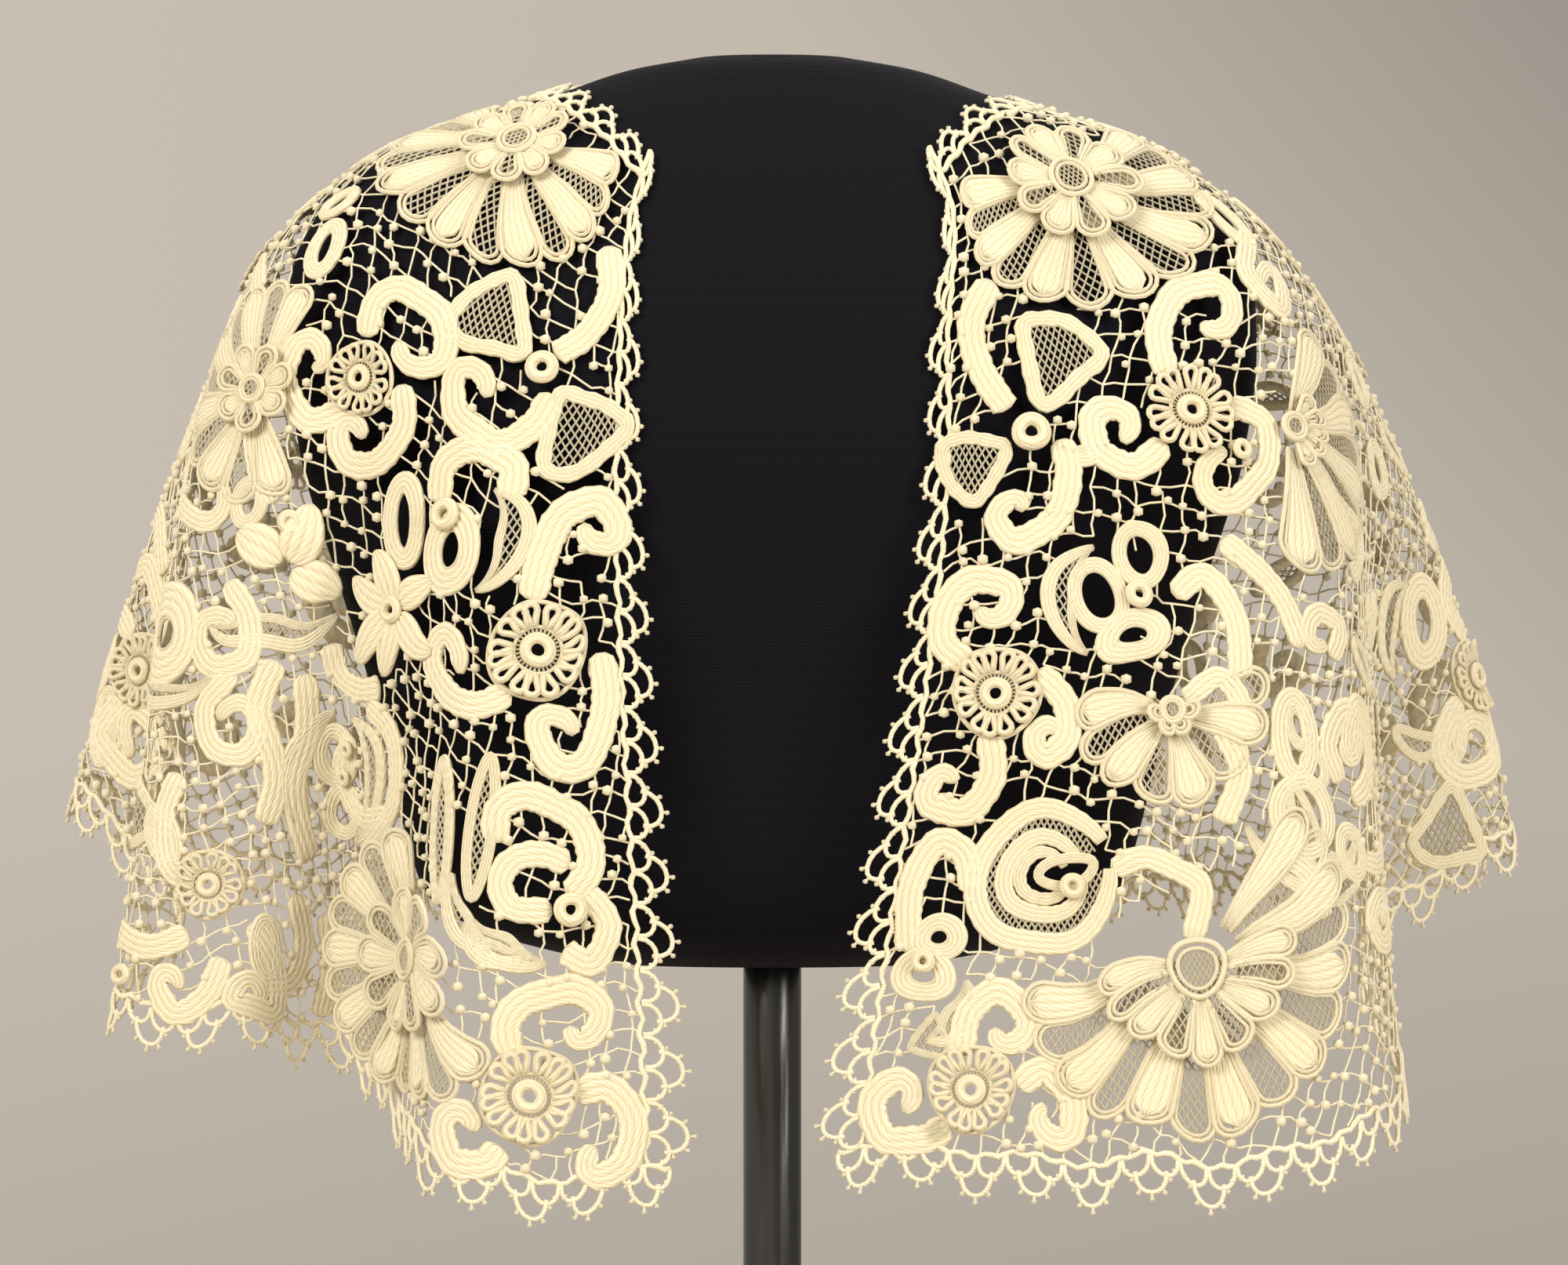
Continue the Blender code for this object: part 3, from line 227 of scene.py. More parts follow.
# Where the back's motifs lie: depth below the neck, degrees from the middle of the back
BACK_ROSE_GROUPS = (
    (255.0, -24.0), (255.0, 24.0), (150.0, 0.0), (305.0, -46.0), (305.0, 46.0), (62.0, -17.0), (62.0, 17.0),
)
BACK_SCROLLS = (
    ((2.0, 15.0), (-8.0, 32.0), (8.0, 46.0), (24.0, 38.0), (15.0, 32.0)),
    ((13.0, -8.0), (30.0, -14.0), (42.0, 2.0), (34.0, 15.0), (30.0, 3.0)),
    ((-12.0, -9.0), (-26.0, -24.0), (-16.0, -40.0), (0.0, -34.0), (-11.0, -28.0)),
    ((-14.0, 6.0), (-32.0, 6.0), (-40.0, 20.0), (-28.0, 30.0), (-27.0, 19.0)),
)
BACK_LOOPS = (
    (205.0, -11.0, 10.0, 15.0), (205.0, 11.0, 10.0, 15.0), (335.0, -10.0, 13.0, 13.0),
    (335.0, 10.0, 13.0, 13.0), (215.0, -42.0, 10.0, 15.0), (215.0, 42.0, 10.0, 15.0),
    (330.0, -33.0, 9.0, 14.0), (330.0, 33.0, 9.0, 14.0), (90.0, -44.0, 9.0, 13.0), (90.0, 44.0, 9.0, 13.0),
)


class Mesh(Enum):
    """What fills a petal."""

    RIBBED = "ribbed"
    NET = "net"


@dataclass(frozen=True)
class FlowerSpec:
    """A large flower in two layers.

    Attributes hold the CAD node that it stands for, its place in pixels or as depth and degrees on the back, the
    fan's reach, its petals, its first angle and sweep, and the upper petals' reach and number.
    """

    node: str
    place: tuple[float, float]
    reach: float
    petals: int
    start: float
    sweep: float
    upper_reach: float
    upper_petals: int
    button: float = 6.5
    on_back: bool = False
    upper_start: float = 0.0
    upper_sweep: float = 360.0
    lean: Optional[float] = None


FLOWERS = (
    FlowerSpec("flower_shoulder_left", (663, 187), 51.0, 13, -200.0, 222.0, 21.0, 9, 7.0),
    FlowerSpec("flower_shoulder_right", (1360, 234), 53.0, 13, -196.0, 226.0, 26.0, 10, 8.0),
    FlowerSpec("flower_side_left", (330, 500), 44.0, 11, 75.0, 230.0, 17.0, 7, 5.0),
    FlowerSpec("flower_side_right", (1640, 548), 57.0, 9, -112.0, 166.0, 16.0, 5, 5.0, False, -100.0, 150.0),
    FlowerSpec("flower_ridge_left", (533, 1225), 50.0, 13, 100.0, 230.0, 27.0, 9, 7.5, lean=36.0),
    FlowerSpec("flower_hem_right", (1524, 1240), 64.0, 15, -178.0, 226.0, 36.0, 9, 10.5, False, -186.0, 196.0),
    FlowerSpec("flower_small_right", (1494, 908), 37.0, 8, -200.0, 212.0, 10.0, 4, 4.6, False, -190.0, 200.0),
    FlowerSpec("flower_back_middle", (250.0, 0.0), 50.0, 13, -200.0, 220.0, 26.0, 9, 8.0, True),
    FlowerSpec("flower_back_left", (130.0, -30.0), 42.0, 12, -200.0, 220.0, 21.0, 8, 7.0, True),
    FlowerSpec("flower_back_right", (130.0, 30.0), 42.0, 12, -200.0, 220.0, 21.0, 8, 7.0, True),
)


def smooth_curve(at: np.ndarray, knots: Sequence[float], values: Sequence[float]) -> np.ndarray:
    """A cubic through the values at the knots, without overshoot.

    Args:
        at: where it is read.
        knots: rising places of the values.
        values: the values.

    Returns:
        The curve at each number of at.
    """
    knots = np.asarray(knots, float)
    values = np.asarray(values, float)
    gaps = np.diff(knots)
    slopes = np.diff(values) / gaps
    tangents = np.zeros_like(values)
    same_way = slopes[:-1] * slopes[1:] > 0
    weights = gaps[1:] * 2 + gaps[:-1], gaps[1:] + gaps[:-1] * 2
    safe = np.where(same_way, slopes[:-1], 1.0), np.where(same_way, slopes[1:], 1.0)
    mean = (weights[0] + weights[1]) / (weights[0] / safe[0] + weights[1] / safe[1])
    tangents[1:-1] = np.where(same_way, mean, 0.0)
    tangents[0], tangents[-1] = slopes[0], slopes[-1]
    at = np.clip(at, knots[0], knots[-1])
    k = np.clip(np.searchsorted(knots, at, side="right") - 1, 0, len(gaps) - 1)
    t = (at - knots[k]) / gaps[k]
    return (
        values[k] * (1 + 2 * t) * (1 - t) ** 2
        + tangents[k] * gaps[k] * t * (1 - t) ** 2
        + values[k + 1] * t * t * (3 - 2 * t)
        + tangents[k + 1] * gaps[k] * t * t * (t - 1)
    )


def spaced(points: np.ndarray, count: int) -> np.ndarray:
    """count points at equal steps along a path of any dimension."""
    run = np.concatenate([[0.0], np.cumsum(np.linalg.norm(np.diff(points, axis=0), axis=1))])
    at = np.linspace(0.0, run[-1], count)
    return np.stack([np.interp(at, run, points[:, axis]) for axis in range(points.shape[1])], axis=1)


def rounded_path(points: Sequence[Sequence[float]], count: int) -> np.ndarray:
    """A rounded curve through the points.

    Args:
        points: at least two points.
        count: how many points come back.

    Returns:
        Points at equal steps along the curve.
    """
    points = np.asarray(points, float)
    steps = np.linalg.norm(np.diff(points, axis=0), axis=1)
    apart = steps > 0.01
    points, steps = np.concatenate([points[:1], points[1:][apart]]), steps[apart]
    knots = np.concatenate([[0.0], np.cumsum(np.sqrt(steps))])
    inner = np.diff(knots)[:, None]
    chord = np.diff(points, axis=0) / inner
    tangents = np.empty_like(points)
    tangents[1:-1] = (chord[:-1] * inner[1:] + chord[1:] * inner[:-1]) / (inner[1:] + inner[:-1])
    tangents[0], tangents[-1] = chord[0], chord[-1]
    at = np.linspace(0.0, knots[-1], count * CURVE_REFINING)
    k = np.clip(np.searchsorted(knots, at, side="right") - 1, 0, len(steps) - 1)
    gap = np.diff(knots)[k][:, None]
    t = ((at - knots[k]) / np.diff(knots)[k])[:, None]
    curve = (
        points[k] * (1 + 2 * t) * (1 - t) ** 2
        + tangents[k] * gap * t * (1 - t) ** 2
        + points[k + 1] * t * t * (3 - 2 * t)
        + tangents[k + 1] * gap * t * t * (t - 1)
    )
    return spaced(curve, count)


def unit(vectors: np.ndarray) -> np.ndarray:
    """The vectors at length one."""
    length = np.linalg.norm(vectors, axis=-1, keepdims=True)
    return vectors / np.maximum(length, 1e-12)


@dataclass(frozen=True)
class PhotoView:
    """The camera of the photograph, level and square to the form."""

    middle: tuple[float, float] = (1000.0, 806.5)
    across: float = 4.65
    height: float = 430.0
    distance: float = 2000.0
    focal_pixels: float = 6451.6
    image_width: float = 2000.0
    sensor_mm: float = 36.0
    search_pixels: float = 9.0
    same_fold: float = 8.0

    def pixels(self, points: np.ndarray) -> tuple[np.ndarray, np.ndarray]:
        """The pixel across and down of each point in mm."""
        scale = self.focal_pixels / (self.distance + points[..., 1])
        across = self.middle[0] + (points[..., 0] - self.across) * scale
        return across, self.middle[1] - (points[..., 2] - self.height) * scale

    def build(self) -> bpy.types.Object:
        """Makes the camera and hands it to the scene."""
        lens = bpy.data.cameras.new("photo_camera")
        lens.sensor_width = self.sensor_mm
        lens.lens = self.focal_pixels / self.image_width * self.sensor_mm
        lens.clip_end = 50.0
        camera = bpy.data.objects.new("photo_camera", lens)
        camera.location = (self.across * MM, -self.distance * MM, self.height * MM)
        camera.rotation_euler = (math.pi / 2, 0.0, 0.0)
        bpy.context.scene.collection.objects.link(camera)
        bpy.context.scene.camera = camera
        return camera


class FormShape:
    """The dress form's surface, read by heading and height in mm."""

    table = np.array(FORM_SECTIONS)[::-1]

    @classmethod
    def radius(cls, heading: np.ndarray, height: np.ndarray) -> np.ndarray:
        """Distance from the axis to the surface."""
        half_width = smooth_curve(height, cls.table[:, 0], cls.table[:, 1])
        half_depth = smooth_curve(height, cls.table[:, 0], cls.table[:, 2])
        side = np.abs(np.sin(heading) / half_width) ** FORM_SQUARENESS
        front = np.abs(np.cos(heading) / half_depth) ** FORM_SQUARENESS
        return (side + front) ** (-1.0 / FORM_SQUARENESS)

    @classmethod
    def at(cls, heading: np.ndarray, height: np.ndarray) -> np.ndarray:
        """Points on the surface. Heading 0 is the front, 90 degrees the viewer's left."""
        radius = cls.radius(heading, height)
        return np.stack([-radius * np.sin(heading), -radius * np.cos(heading), height], axis=-1)

    @classmethod
    def lifted(cls, heading: np.ndarray, height: np.ndarray, lift: float) -> np.ndarray:
        """Points lifted off the surface along its normal."""
        across = cls.at(heading + SLOPE_TURN, height) - cls.at(heading - SLOPE_TURN, height)
        down = cls.at(heading, height - SLOPE_STEP) - cls.at(heading, height + SLOPE_STEP)
        return cls.at(heading, height) + unit(np.cross(across, down)) * lift

    @classmethod
    def around(cls, line: Sequence[Sequence[float]], count: int) -> tuple[np.ndarray, np.ndarray]:
        """Heading and height at equal steps along a line on the form.

        Args:
            line: headings in degrees and heights.
            count: how many come back.

        Returns:
            The headings in radians and the heights.
        """
        knots, heights = np.array(line).T
        fine = np.linspace(knots[0], knots[-1], LINE_SAMPLES)
        level = smooth_curve(fine, knots, heights)
        points = cls.lifted(np.radians(fine), level, CLEAR_OF_FORM)
        run = np.concatenate([[0.0], np.cumsum(np.linalg.norm(np.diff(points, axis=0), axis=1))])
        at = np.linspace(0.0, run[-1], count)
        return np.radians(np.interp(at, run, fine)), np.interp(at, run, level)


class Drape:
    """The collar's middle surface, read at u round the neck and v from neck to hem, both from 0 to 1."""

    def __init__(self, view: PhotoView) -> None:
        """Drapes the pattern over the form.

        Args:
            view: the camera that places what the photograph shows.
        """
        neck_heading, neck_height = FormShape.around(NECKLINE, DRAPE_COLUMNS + 1)
        leave_heading, leave_height = FormShape.around(LEAVING_LINE, DRAPE_COLUMNS + 1)
        hem = rounded_path(HEM_FOLDS, DRAPE_COLUMNS + 1)
        run = np.linspace(0.0, np.linalg.norm(np.diff(hem, axis=0), axis=1).sum(), DRAPE_COLUMNS + 1)
        hem[:, 2] += 2.2 * np.sin(run / 7.3) + 1.4 * np.sin(run / 12.1 + 1.0)
        self.grid = np.array(
            [
                self.column(neck_heading[i], neck_height[i], leave_heading[i], leave_height[i], hem[i])
                for i in range(DRAPE_COLUMNS + 1)
            ]
        )
        slope_u = np.gradient(self.grid, axis=0)
        slope_v = np.gradient(self.grid, axis=1)
        normals = unit(np.cross(slope_v, slope_u))
        middle = DRAPE_COLUMNS // 2
        if normals[middle, DRAPE_ROWS, 1] < 0:
            normals = -normals
        self.normals = normals
        self.widths = np.linalg.norm(np.diff(self.grid, axis=0), axis=2).sum(axis=0)
        self.view = view
        self.across, self.down = view.pixels(self.grid)

    @staticmethod
    def column(
        neck_heading: float, neck_height: float, leave_heading: float, leave_height: float, hem: np.ndarray
    ) -> np.ndarray:
        """One line of the drape, on the form to where the cloth leaves it and then falling to the hem.

        Args:
            neck_heading: heading of the line's top in radians.
            neck_height: its height.
            leave_heading: heading where the cloth leaves the form.
            leave_height: its height.
            hem: the line's foot.

        Returns:
            Points at equal steps.
        """
        along = np.linspace(0.0, 1.0, FORM_SAMPLES)
        ease = along * along * (3.0 - 2.0 * along)
        heading = neck_heading + (leave_heading - neck_heading) * ease
        height = neck_height + (leave_height - neck_height) * along
        on_form = FormShape.lifted(heading, height, CLEAR_OF_FORM)
        leave = on_form[-1]
        drop = hem - leave
        start = unit(on_form[-1] - on_form[-4]) * np.linalg.norm(drop) * START_REACH
        t = np.linspace(0.0, 1.0, FALL_SAMPLES)[1:, None]
        fall = (
            leave * (1 + 2 * t) * (1 - t) ** 2
            + start * t * (1 - t) ** 2
            + hem * t * t * (3 - 2 * t)
            + drop * t * t * (t - 1)
        )
        outward = np.array([-math.sin(leave_heading), -math.cos(leave_heading), 0.0])
        belly = smooth_curve(math.degrees(leave_heading), *np.array(BELLY).T)
        fall = Drape.outside_form(fall + outward * belly * 4.0 * t * (1 - t))
        return spaced(np.concatenate([on_form, fall]), DRAPE_ROWS + 1)

    @staticmethod
    def outside_form(points: np.ndarray) -> np.ndarray:
        """Moves points that would enter the form out to its surface and the cloth's clearance."""
        heading = np.arctan2(-points[:, 0], -points[:, 1])
        bottom = FORM_SECTIONS[-1][0]
        needed = FormShape.radius(heading, np.clip(points[:, 2], bottom, None)) + CLEAR_OF_FORM
        needed = np.where(points[:, 2] < bottom, 0.0, needed)
        scale = np.maximum(1.0, needed / np.hypot(points[:, 0], points[:, 1]))
        return points * np.stack([scale, scale, np.ones_like(scale)], axis=1)

    def read(self, table: np.ndarray, u: np.ndarray, v: np.ndarray) -> np.ndarray:
        """A table of the drape's grid at u and v, clipped to the cloth."""
        a = np.clip(u, 0.0, 1.0) * DRAPE_COLUMNS
        b = np.clip(v, 0.0, 1.0) * DRAPE_ROWS
        i = np.minimum(a.astype(int), DRAPE_COLUMNS - 1)
        j = np.minimum(b.astype(int), DRAPE_ROWS - 1)
        s, t = (a - i)[..., None], (b - j)[..., None]
        near = table[i, j] * (1 - t) + table[i, j + 1] * t
        far = table[i + 1, j] * (1 - t) + table[i + 1, j + 1] * t
        return near * (1 - s) + far * s

    def surface(self, u: np.ndarray, v: np.ndarray) -> tuple[np.ndarray, np.ndarray]:
        """Points and outward normals, carried on straight past the cloth's rim.

        Args:
            u: place round the neck, 0 to 1 on the cloth.
            v: place from neck to hem, 0 to 1 on the cloth.

        Returns:
            The points in mm and the normals.
        """
        u, v = np.broadcast_arrays(np.asarray(u, float), np.asarray(v, float))
        place = self.read(self.grid, u, v)
        normal = unit(self.read(self.normals, u, v))
        rim = place
        past_u = u - np.clip(u, 0.0, 1.0)
        past_v = v - np.clip(v, 0.0, 1.0)
        if np.any(past_u):
            inner = self.read(self.grid, np.clip(u, PROBE_U, 1.0 - PROBE_U), v)
            widths = np.interp(np.clip(v, 0, 1), np.linspace(0, 1, DRAPE_ROWS + 1), self.widths)
            place = place + unit(rim - inner) * (np.abs(past_u) * widths)[..., None]
        if np.any(past_v):
            inner = self.read(self.grid, u, np.clip(v, PROBE_V, 1.0 - PROBE_V))
            place = place + unit(rim - inner) * (np.abs(past_v) * PATTERN_DEPTH)[..., None]
        return place, normal

    def locate(self, pixel: Sequence[float]) -> tuple[float, float]:
        """u and v of the nearest cloth that the photograph shows at a pixel."""
        miss = np.hypot(self.across - pixel[0], self.down - pixel[1])
        away = self.grid[:, :, 1]
        depth = np.where(miss < max(self.view.search_pixels, miss.min() + 1.0), away, np.inf)
        near = np.where(away < depth.min() + self.view.same_fold, miss, np.inf)
        i, j = np.unravel_index(np.argmin(near), near.shape)
        return i / DRAPE_COLUMNS, j / DRAPE_ROWS


def to_flat(u: np.ndarray, v: np.ndarray) -> np.ndarray:
    """Points of the flat pattern at u and v."""
    radius = NECK_RADIUS + np.asarray(v, float) * PATTERN_DEPTH
    turn = (np.asarray(u, float) - 0.5) * PATTERN_SPREAD
    return np.stack([radius * np.sin(turn), -radius * np.cos(turn)], axis=-1)


def from_flat(flat: np.ndarray) -> tuple[np.ndarray, np.ndarray]:
    """u and v of points of the flat pattern."""
    radius = np.hypot(flat[..., 0], flat[..., 1])
    turn = np.arctan2(flat[..., 0], -flat[..., 1])
    return turn / PATTERN_SPREAD + 0.5, (radius - NECK_RADIUS) / PATTERN_DEPTH


class Spot:
    """A place on the drape with its own flat frame: a to the right and b up, in mm, seen from outside."""

    step = 0.006
    stiffness = 0.8

    def __init__(self, drape: Drape, u: float, v: float, turn: float = 0.0, lean: Optional[float] = None) -> None:
        """Fits the frame to the cloth there.

        Args:
            drape: the cloth.
            u: the spot's place round the neck.
            v: its place from neck to hem.
            turn: degrees that the frame is turned anticlockwise.
            lean: where a stiff left half stands off the cloth, the degrees it turns back from the front.
        """
        self.drape, self.u, self.v, self.lean = drape, u, v, lean
        inner_u = min(max(u, self.step), 1.0 - self.step)
        inner_v = min(max(v, self.step), 1.0 - self.step)
        us = np.array([inner_u + self.step, inner_u - self.step, inner_u, inner_u])
        vs = np.array([inner_v, inner_v, inner_v + self.step, inner_v - self.step])
        points, _ = drape.surface(us, vs)
        per_u = (points[0] - points[1]) / (2 * self.step)
        per_v = (points[2] - points[3]) / (2 * self.step)
        up = unit(-per_v)
        right = unit(-per_u - up * float(np.dot(-per_u, up)))
        spin = math.radians(turn)
        right, up = (
            right * math.cos(spin) + up * math.sin(spin),
            up * math.cos(spin) - right * math.sin(spin),
        )
        self.up = up
        slopes = np.array([[per_u @ right, per_v @ right], [per_u @ up, per_v @ up]])
        self.inverse = np.linalg.inv(slopes)

    def uv(self, local: np.ndarray) -> tuple[np.ndarray, np.ndarray]:
        """u and v of local points."""
        moved = np.asarray(local, float) @ self.inverse.T
        return self.u + moved[..., 0], self.v + moved[..., 1]

    def flat(self, local: np.ndarray) -> np.ndarray:
        """Points of the flat pattern of local points."""
        return to_flat(*self.uv(local))

    def laid(self, local: np.ndarray) -> tuple[np.ndarray, np.ndarray]:
        """Points on the cloth and their normals of local points."""
        points, normals = self.drape.surface(*self.uv(local))
        if self.lean is None:
            return points, normals
        middle, _ = self.drape.surface(np.array(self.u), np.array(self.v))
        back = math.radians(self.lean)
        right = np.array([math.cos(back), -math.sin(back), 0.0])
        outward = np.array([-math.sin(back), -math.cos(back), 0.0])
        local = np.asarray(local, float)
        flat = middle + local[..., :1] * right + local[..., 1:] * self.up
        share = np.clip(-local[..., :1] / 14.0, 0.0, 1.0) * self.stiffness
        return points + (flat - points) * share, unit(normals + (outward - normals) * share)


class Coverage:
    """A raster of the flat pattern that says where motifs lie, so that the net stops there."""

    cell = 1.0
    reach = 520

    def __init__(self) -> None:
        """Starts with nothing covered."""
        size = 2 * self.reach + 1
        self.taken = np.zeros((size, size), bool)

    def index(self, flat: np.ndarray) -> tuple[np.ndarray, np.ndarray]:
        """Row and column of points of the flat pattern."""
        size = 2 * self.reach
        column = np.clip(np.round(flat[..., 0] + self.reach).astype(int), 0, size)
        row = np.clip(np.round(flat[..., 1] + self.reach).astype(int), 0, size)
        return row, column

    def stamp(self, flat: np.ndarray, radius: float) -> None:
        """Covers a disc of this radius round each point."""
        span = int(math.ceil(radius))
        grid = np.arange(-span, span + 1)
        dx, dy = np.meshgrid(grid, grid)
        inside = dx * dx + dy * dy <= radius * radius
        discs = np.stack([dx[inside], dy[inside]], axis=1)
        points = (flat.reshape(-1, 1, 2) + discs[None]).reshape(-1, 2)
        row, column = self.index(points)
        self.taken[row, column] = True

    def covers(self, flat: np.ndarray) -> np.ndarray:
        """Whether each point lies under a motif."""
        row, column = self.index(flat)
        return self.taken[row, column]


def round_section(radius: float, sides: int, flatness: float = 1.0) -> np.ndarray:
    """A cord's cross-section, across and up in mm."""
    turn = 2 * math.pi * np.arange(sides) / sides
    return np.stack([np.cos(turn) * radius, np.sin(turn) * radius * flatness], axis=1)


def ribbed_section(ribs: int, height: float, groove: float) -> np.ndarray:
    """A band's cross-section: a crowned top with ribs over a flat back, one unit to each side.

    Args:
        ribs: lengthwise ribs.
        height: of the crown in mm.
        groove: depth between ribs in mm.

    Returns:
        Across from -1 to 1, and up in mm.
    """
    per_rib = 3
    across = np.linspace(1.0, -1.0, ribs * per_rib + 1)
    phase = (1.0 - across) / 2 * ribs
    crown = height * (1.0 - 0.45 * np.abs(across) ** 5)
    up = crown - groove * np.abs(np.cos(np.pi * phase)) ** 3
    top = np.stack([across, up], axis=1)
    back = np.array([[-0.96, -0.5], [0.0, -0.7], [0.96, -0.5]])
    return np.concatenate([top, back])


ICOSAHEDRON = 0.5 * (1 + math.sqrt(5))


class Crochet:
    """A mesh that grows by swept cords, bands and small balls, with a UV map along and across the stitches."""

    def __init__(self, name: str) -> None:
        """Starts an empty piece.

        Args:
            name: the piece's name.
        """
        self.name = name
        self.points: list[np.ndarray] = []
        self.corners: list[np.ndarray] = []
        self.sizes: list[np.ndarray] = []
        self.places: list[np.ndarray] = []
        self.count = 0

    def add(self, points: np.ndarray, faces: np.ndarray, uvs: np.ndarray) -> None:
        """Adds faces that all have the same number of corners.

        Args:
            points: new points, in mm.
            faces: their indices, a row for each face.
            uvs: a UV for each corner.
        """
        self.corners.append((faces + self.count).reshape(-1))
        self.sizes.append(np.full(len(faces), faces.shape[1]))
        self.places.append(uvs.reshape(-1, 2))
        self.points.append(points)
        self.count += len(points)

    def sweep(
        self,
        path: np.ndarray,
        normal: np.ndarray,
        section: np.ndarray,
        widths: Optional[np.ndarray] = None,
        heights: Optional[np.ndarray] = None,
        lift: float = 0.0,
        closed: bool = False,
        capped: bool = True,
    ) -> None:
        """Sweeps a cross-section along one path or a batch of them.

        Args:
            path: points in mm, (n, 3) or (m, n, 3).
            normal: the cloth's normal at each.
            section: across and up of each corner of the cross-section.
            widths: how much the section widens at each point.
            heights: how much it rises at each point.
            lift: how far the whole is moved off the cloth.
            closed: whether each path is a ring.
            capped: whether open ends are closed.
        """
        path = np.atleast_3d(path).reshape(-1, *path.shape[-2:])
        normal = normal.reshape(path.shape)
        many, n, k = path.shape[0], path.shape[1], len(section)
        if closed:
            tangent = np.roll(path, -1, axis=1) - np.roll(path, 1, axis=1)
        else:
            tangent = np.gradient(path, axis=1)
        across = unit(np.cross(unit(tangent), normal))
        up = unit(np.cross(across, unit(tangent)))
        up = np.where((up * normal).sum(-1, keepdims=True) < 0, -up, up)
        widths = np.ones(n) if widths is None else widths
        heights = np.ones(n) if heights is None else heights
        wide = section[:, 0][None, None, :, None] * widths[None, :, None, None]
        high = section[:, 1][None, None, :, None] * heights[None, :, None, None]
        rings = path[:, :, None] + across[:, :, None] * wide + up[:, :, None] * (high + lift)
        points = rings.reshape(-1, 3)
        run = np.zeros((many, n + 1))
        steps = np.linalg.norm(np.diff(path, axis=1, append=path[:, :1]), axis=2)
        run[:, 1:] = np.cumsum(steps, axis=1) / 10.0
        spans = n if closed else n - 1
        i, j = np.meshgrid(np.arange(spans), np.arange(k), indexing="ij")
        i, j = i.reshape(-1), j.reshape(-1)
        after, beside = (i + 1) % n, (j + 1) % k
        faces = np.stack([i * k + j, after * k + j, after * k + beside, i * k + beside], axis=1)
        faces = (faces[None] + (np.arange(many) * n * k)[:, None, None]).reshape(-1, 4)
        u_here, u_next = run[:, i], run[:, i + 1]
        v_here = np.broadcast_to(j / k, u_here.shape)
        v_next = np.broadcast_to((j + 1) / k, u_here.shape)
        us = np.stack([u_here, u_next, u_next, u_here], axis=-1)
        vs = np.stack([v_here, v_here, v_next, v_next], axis=-1)
        if self.turned(section):
            faces, us, vs = faces[:, ::-1], us[..., ::-1], vs[..., ::-1]
        uvs = np.stack([us, vs], axis=-1).reshape(-1, 4, 2)
        base = self.count
        self.add(points, faces, uvs)
        if not closed and capped:
            self.cap(base, many, n, k, self.turned(section))

    @staticmethod
    def turned(section: np.ndarray) -> bool:
        """Whether a section runs clockwise, so that its faces have to be turned round."""
        x, y = section.T
        area = float(np.sum(x * np.roll(y, -1) - np.roll(x, -1) * y))
        return area < 0

    def cap(self, base: int, many: int, n: int, k: int, turned: bool) -> None:
        """Closes both ends of each swept path with one face."""
        ring = np.arange(k)
        first = base - self.count + np.arange(many)[:, None] * n * k + ring[None]
        last = first + (n - 1) * k
        start, end = (first[:, ::-1], last) if turned else (first, last[:, ::-1])
        uvs = np.zeros((many, k, 2))
        self.add(np.zeros((0, 3)), start, uvs)
        self.add(np.zeros((0, 3)), end, uvs)

    def balls(self, centres: np.ndarray, radii: np.ndarray) -> None:
        """Adds a small ball at each centre.

        Args:
            centres: places in mm.
            radii: a radius for each.
        """
        g = ICOSAHEDRON
        corners = unit(
            np.array(
                [(-1, g, 0), (1, g, 0), (-1, -g, 0), (1, -g, 0), (0, -1, g), (0, 1, g)]
                + [(0, -1, -g), (0, 1, -g), (g, 0, -1), (g, 0, 1), (-g, 0, -1), (-g, 0, 1)],
                float,
            )
        )
        sides = np.array(
            [(0, 11, 5), (0, 5, 1), (0, 1, 7), (0, 7, 10), (0, 10, 11), (1, 5, 9), (5, 11, 4)]
            + [(11, 10, 2), (10, 7, 6), (7, 1, 8), (3, 9, 4), (3, 4, 2), (3, 2, 6), (3, 6, 8)]
            + [(3, 8, 9), (4, 9, 5), (2, 4, 11), (6, 2, 10), (8, 6, 7), (9, 8, 1)]
        )
        points = centres[:, None] + corners[None] * np.asarray(radii).reshape(-1, 1, 1)
        faces = sides[None] + (np.arange(len(centres)) * len(corners))[:, None, None]
        chart = np.stack([corners[:, 0] + corners[:, 2], corners[:, 1]], axis=1)[sides] * 0.3
        uvs = np.broadcast_to(chart[None], (len(centres), *chart.shape))
        self.add(points.reshape(-1, 3), faces.reshape(-1, 3), uvs.reshape(-1, 3, 2))

    def triangles(self) -> int:
        """How many triangles the piece has so far."""
        return int(sum((sizes - 2).sum() for sizes in self.sizes))

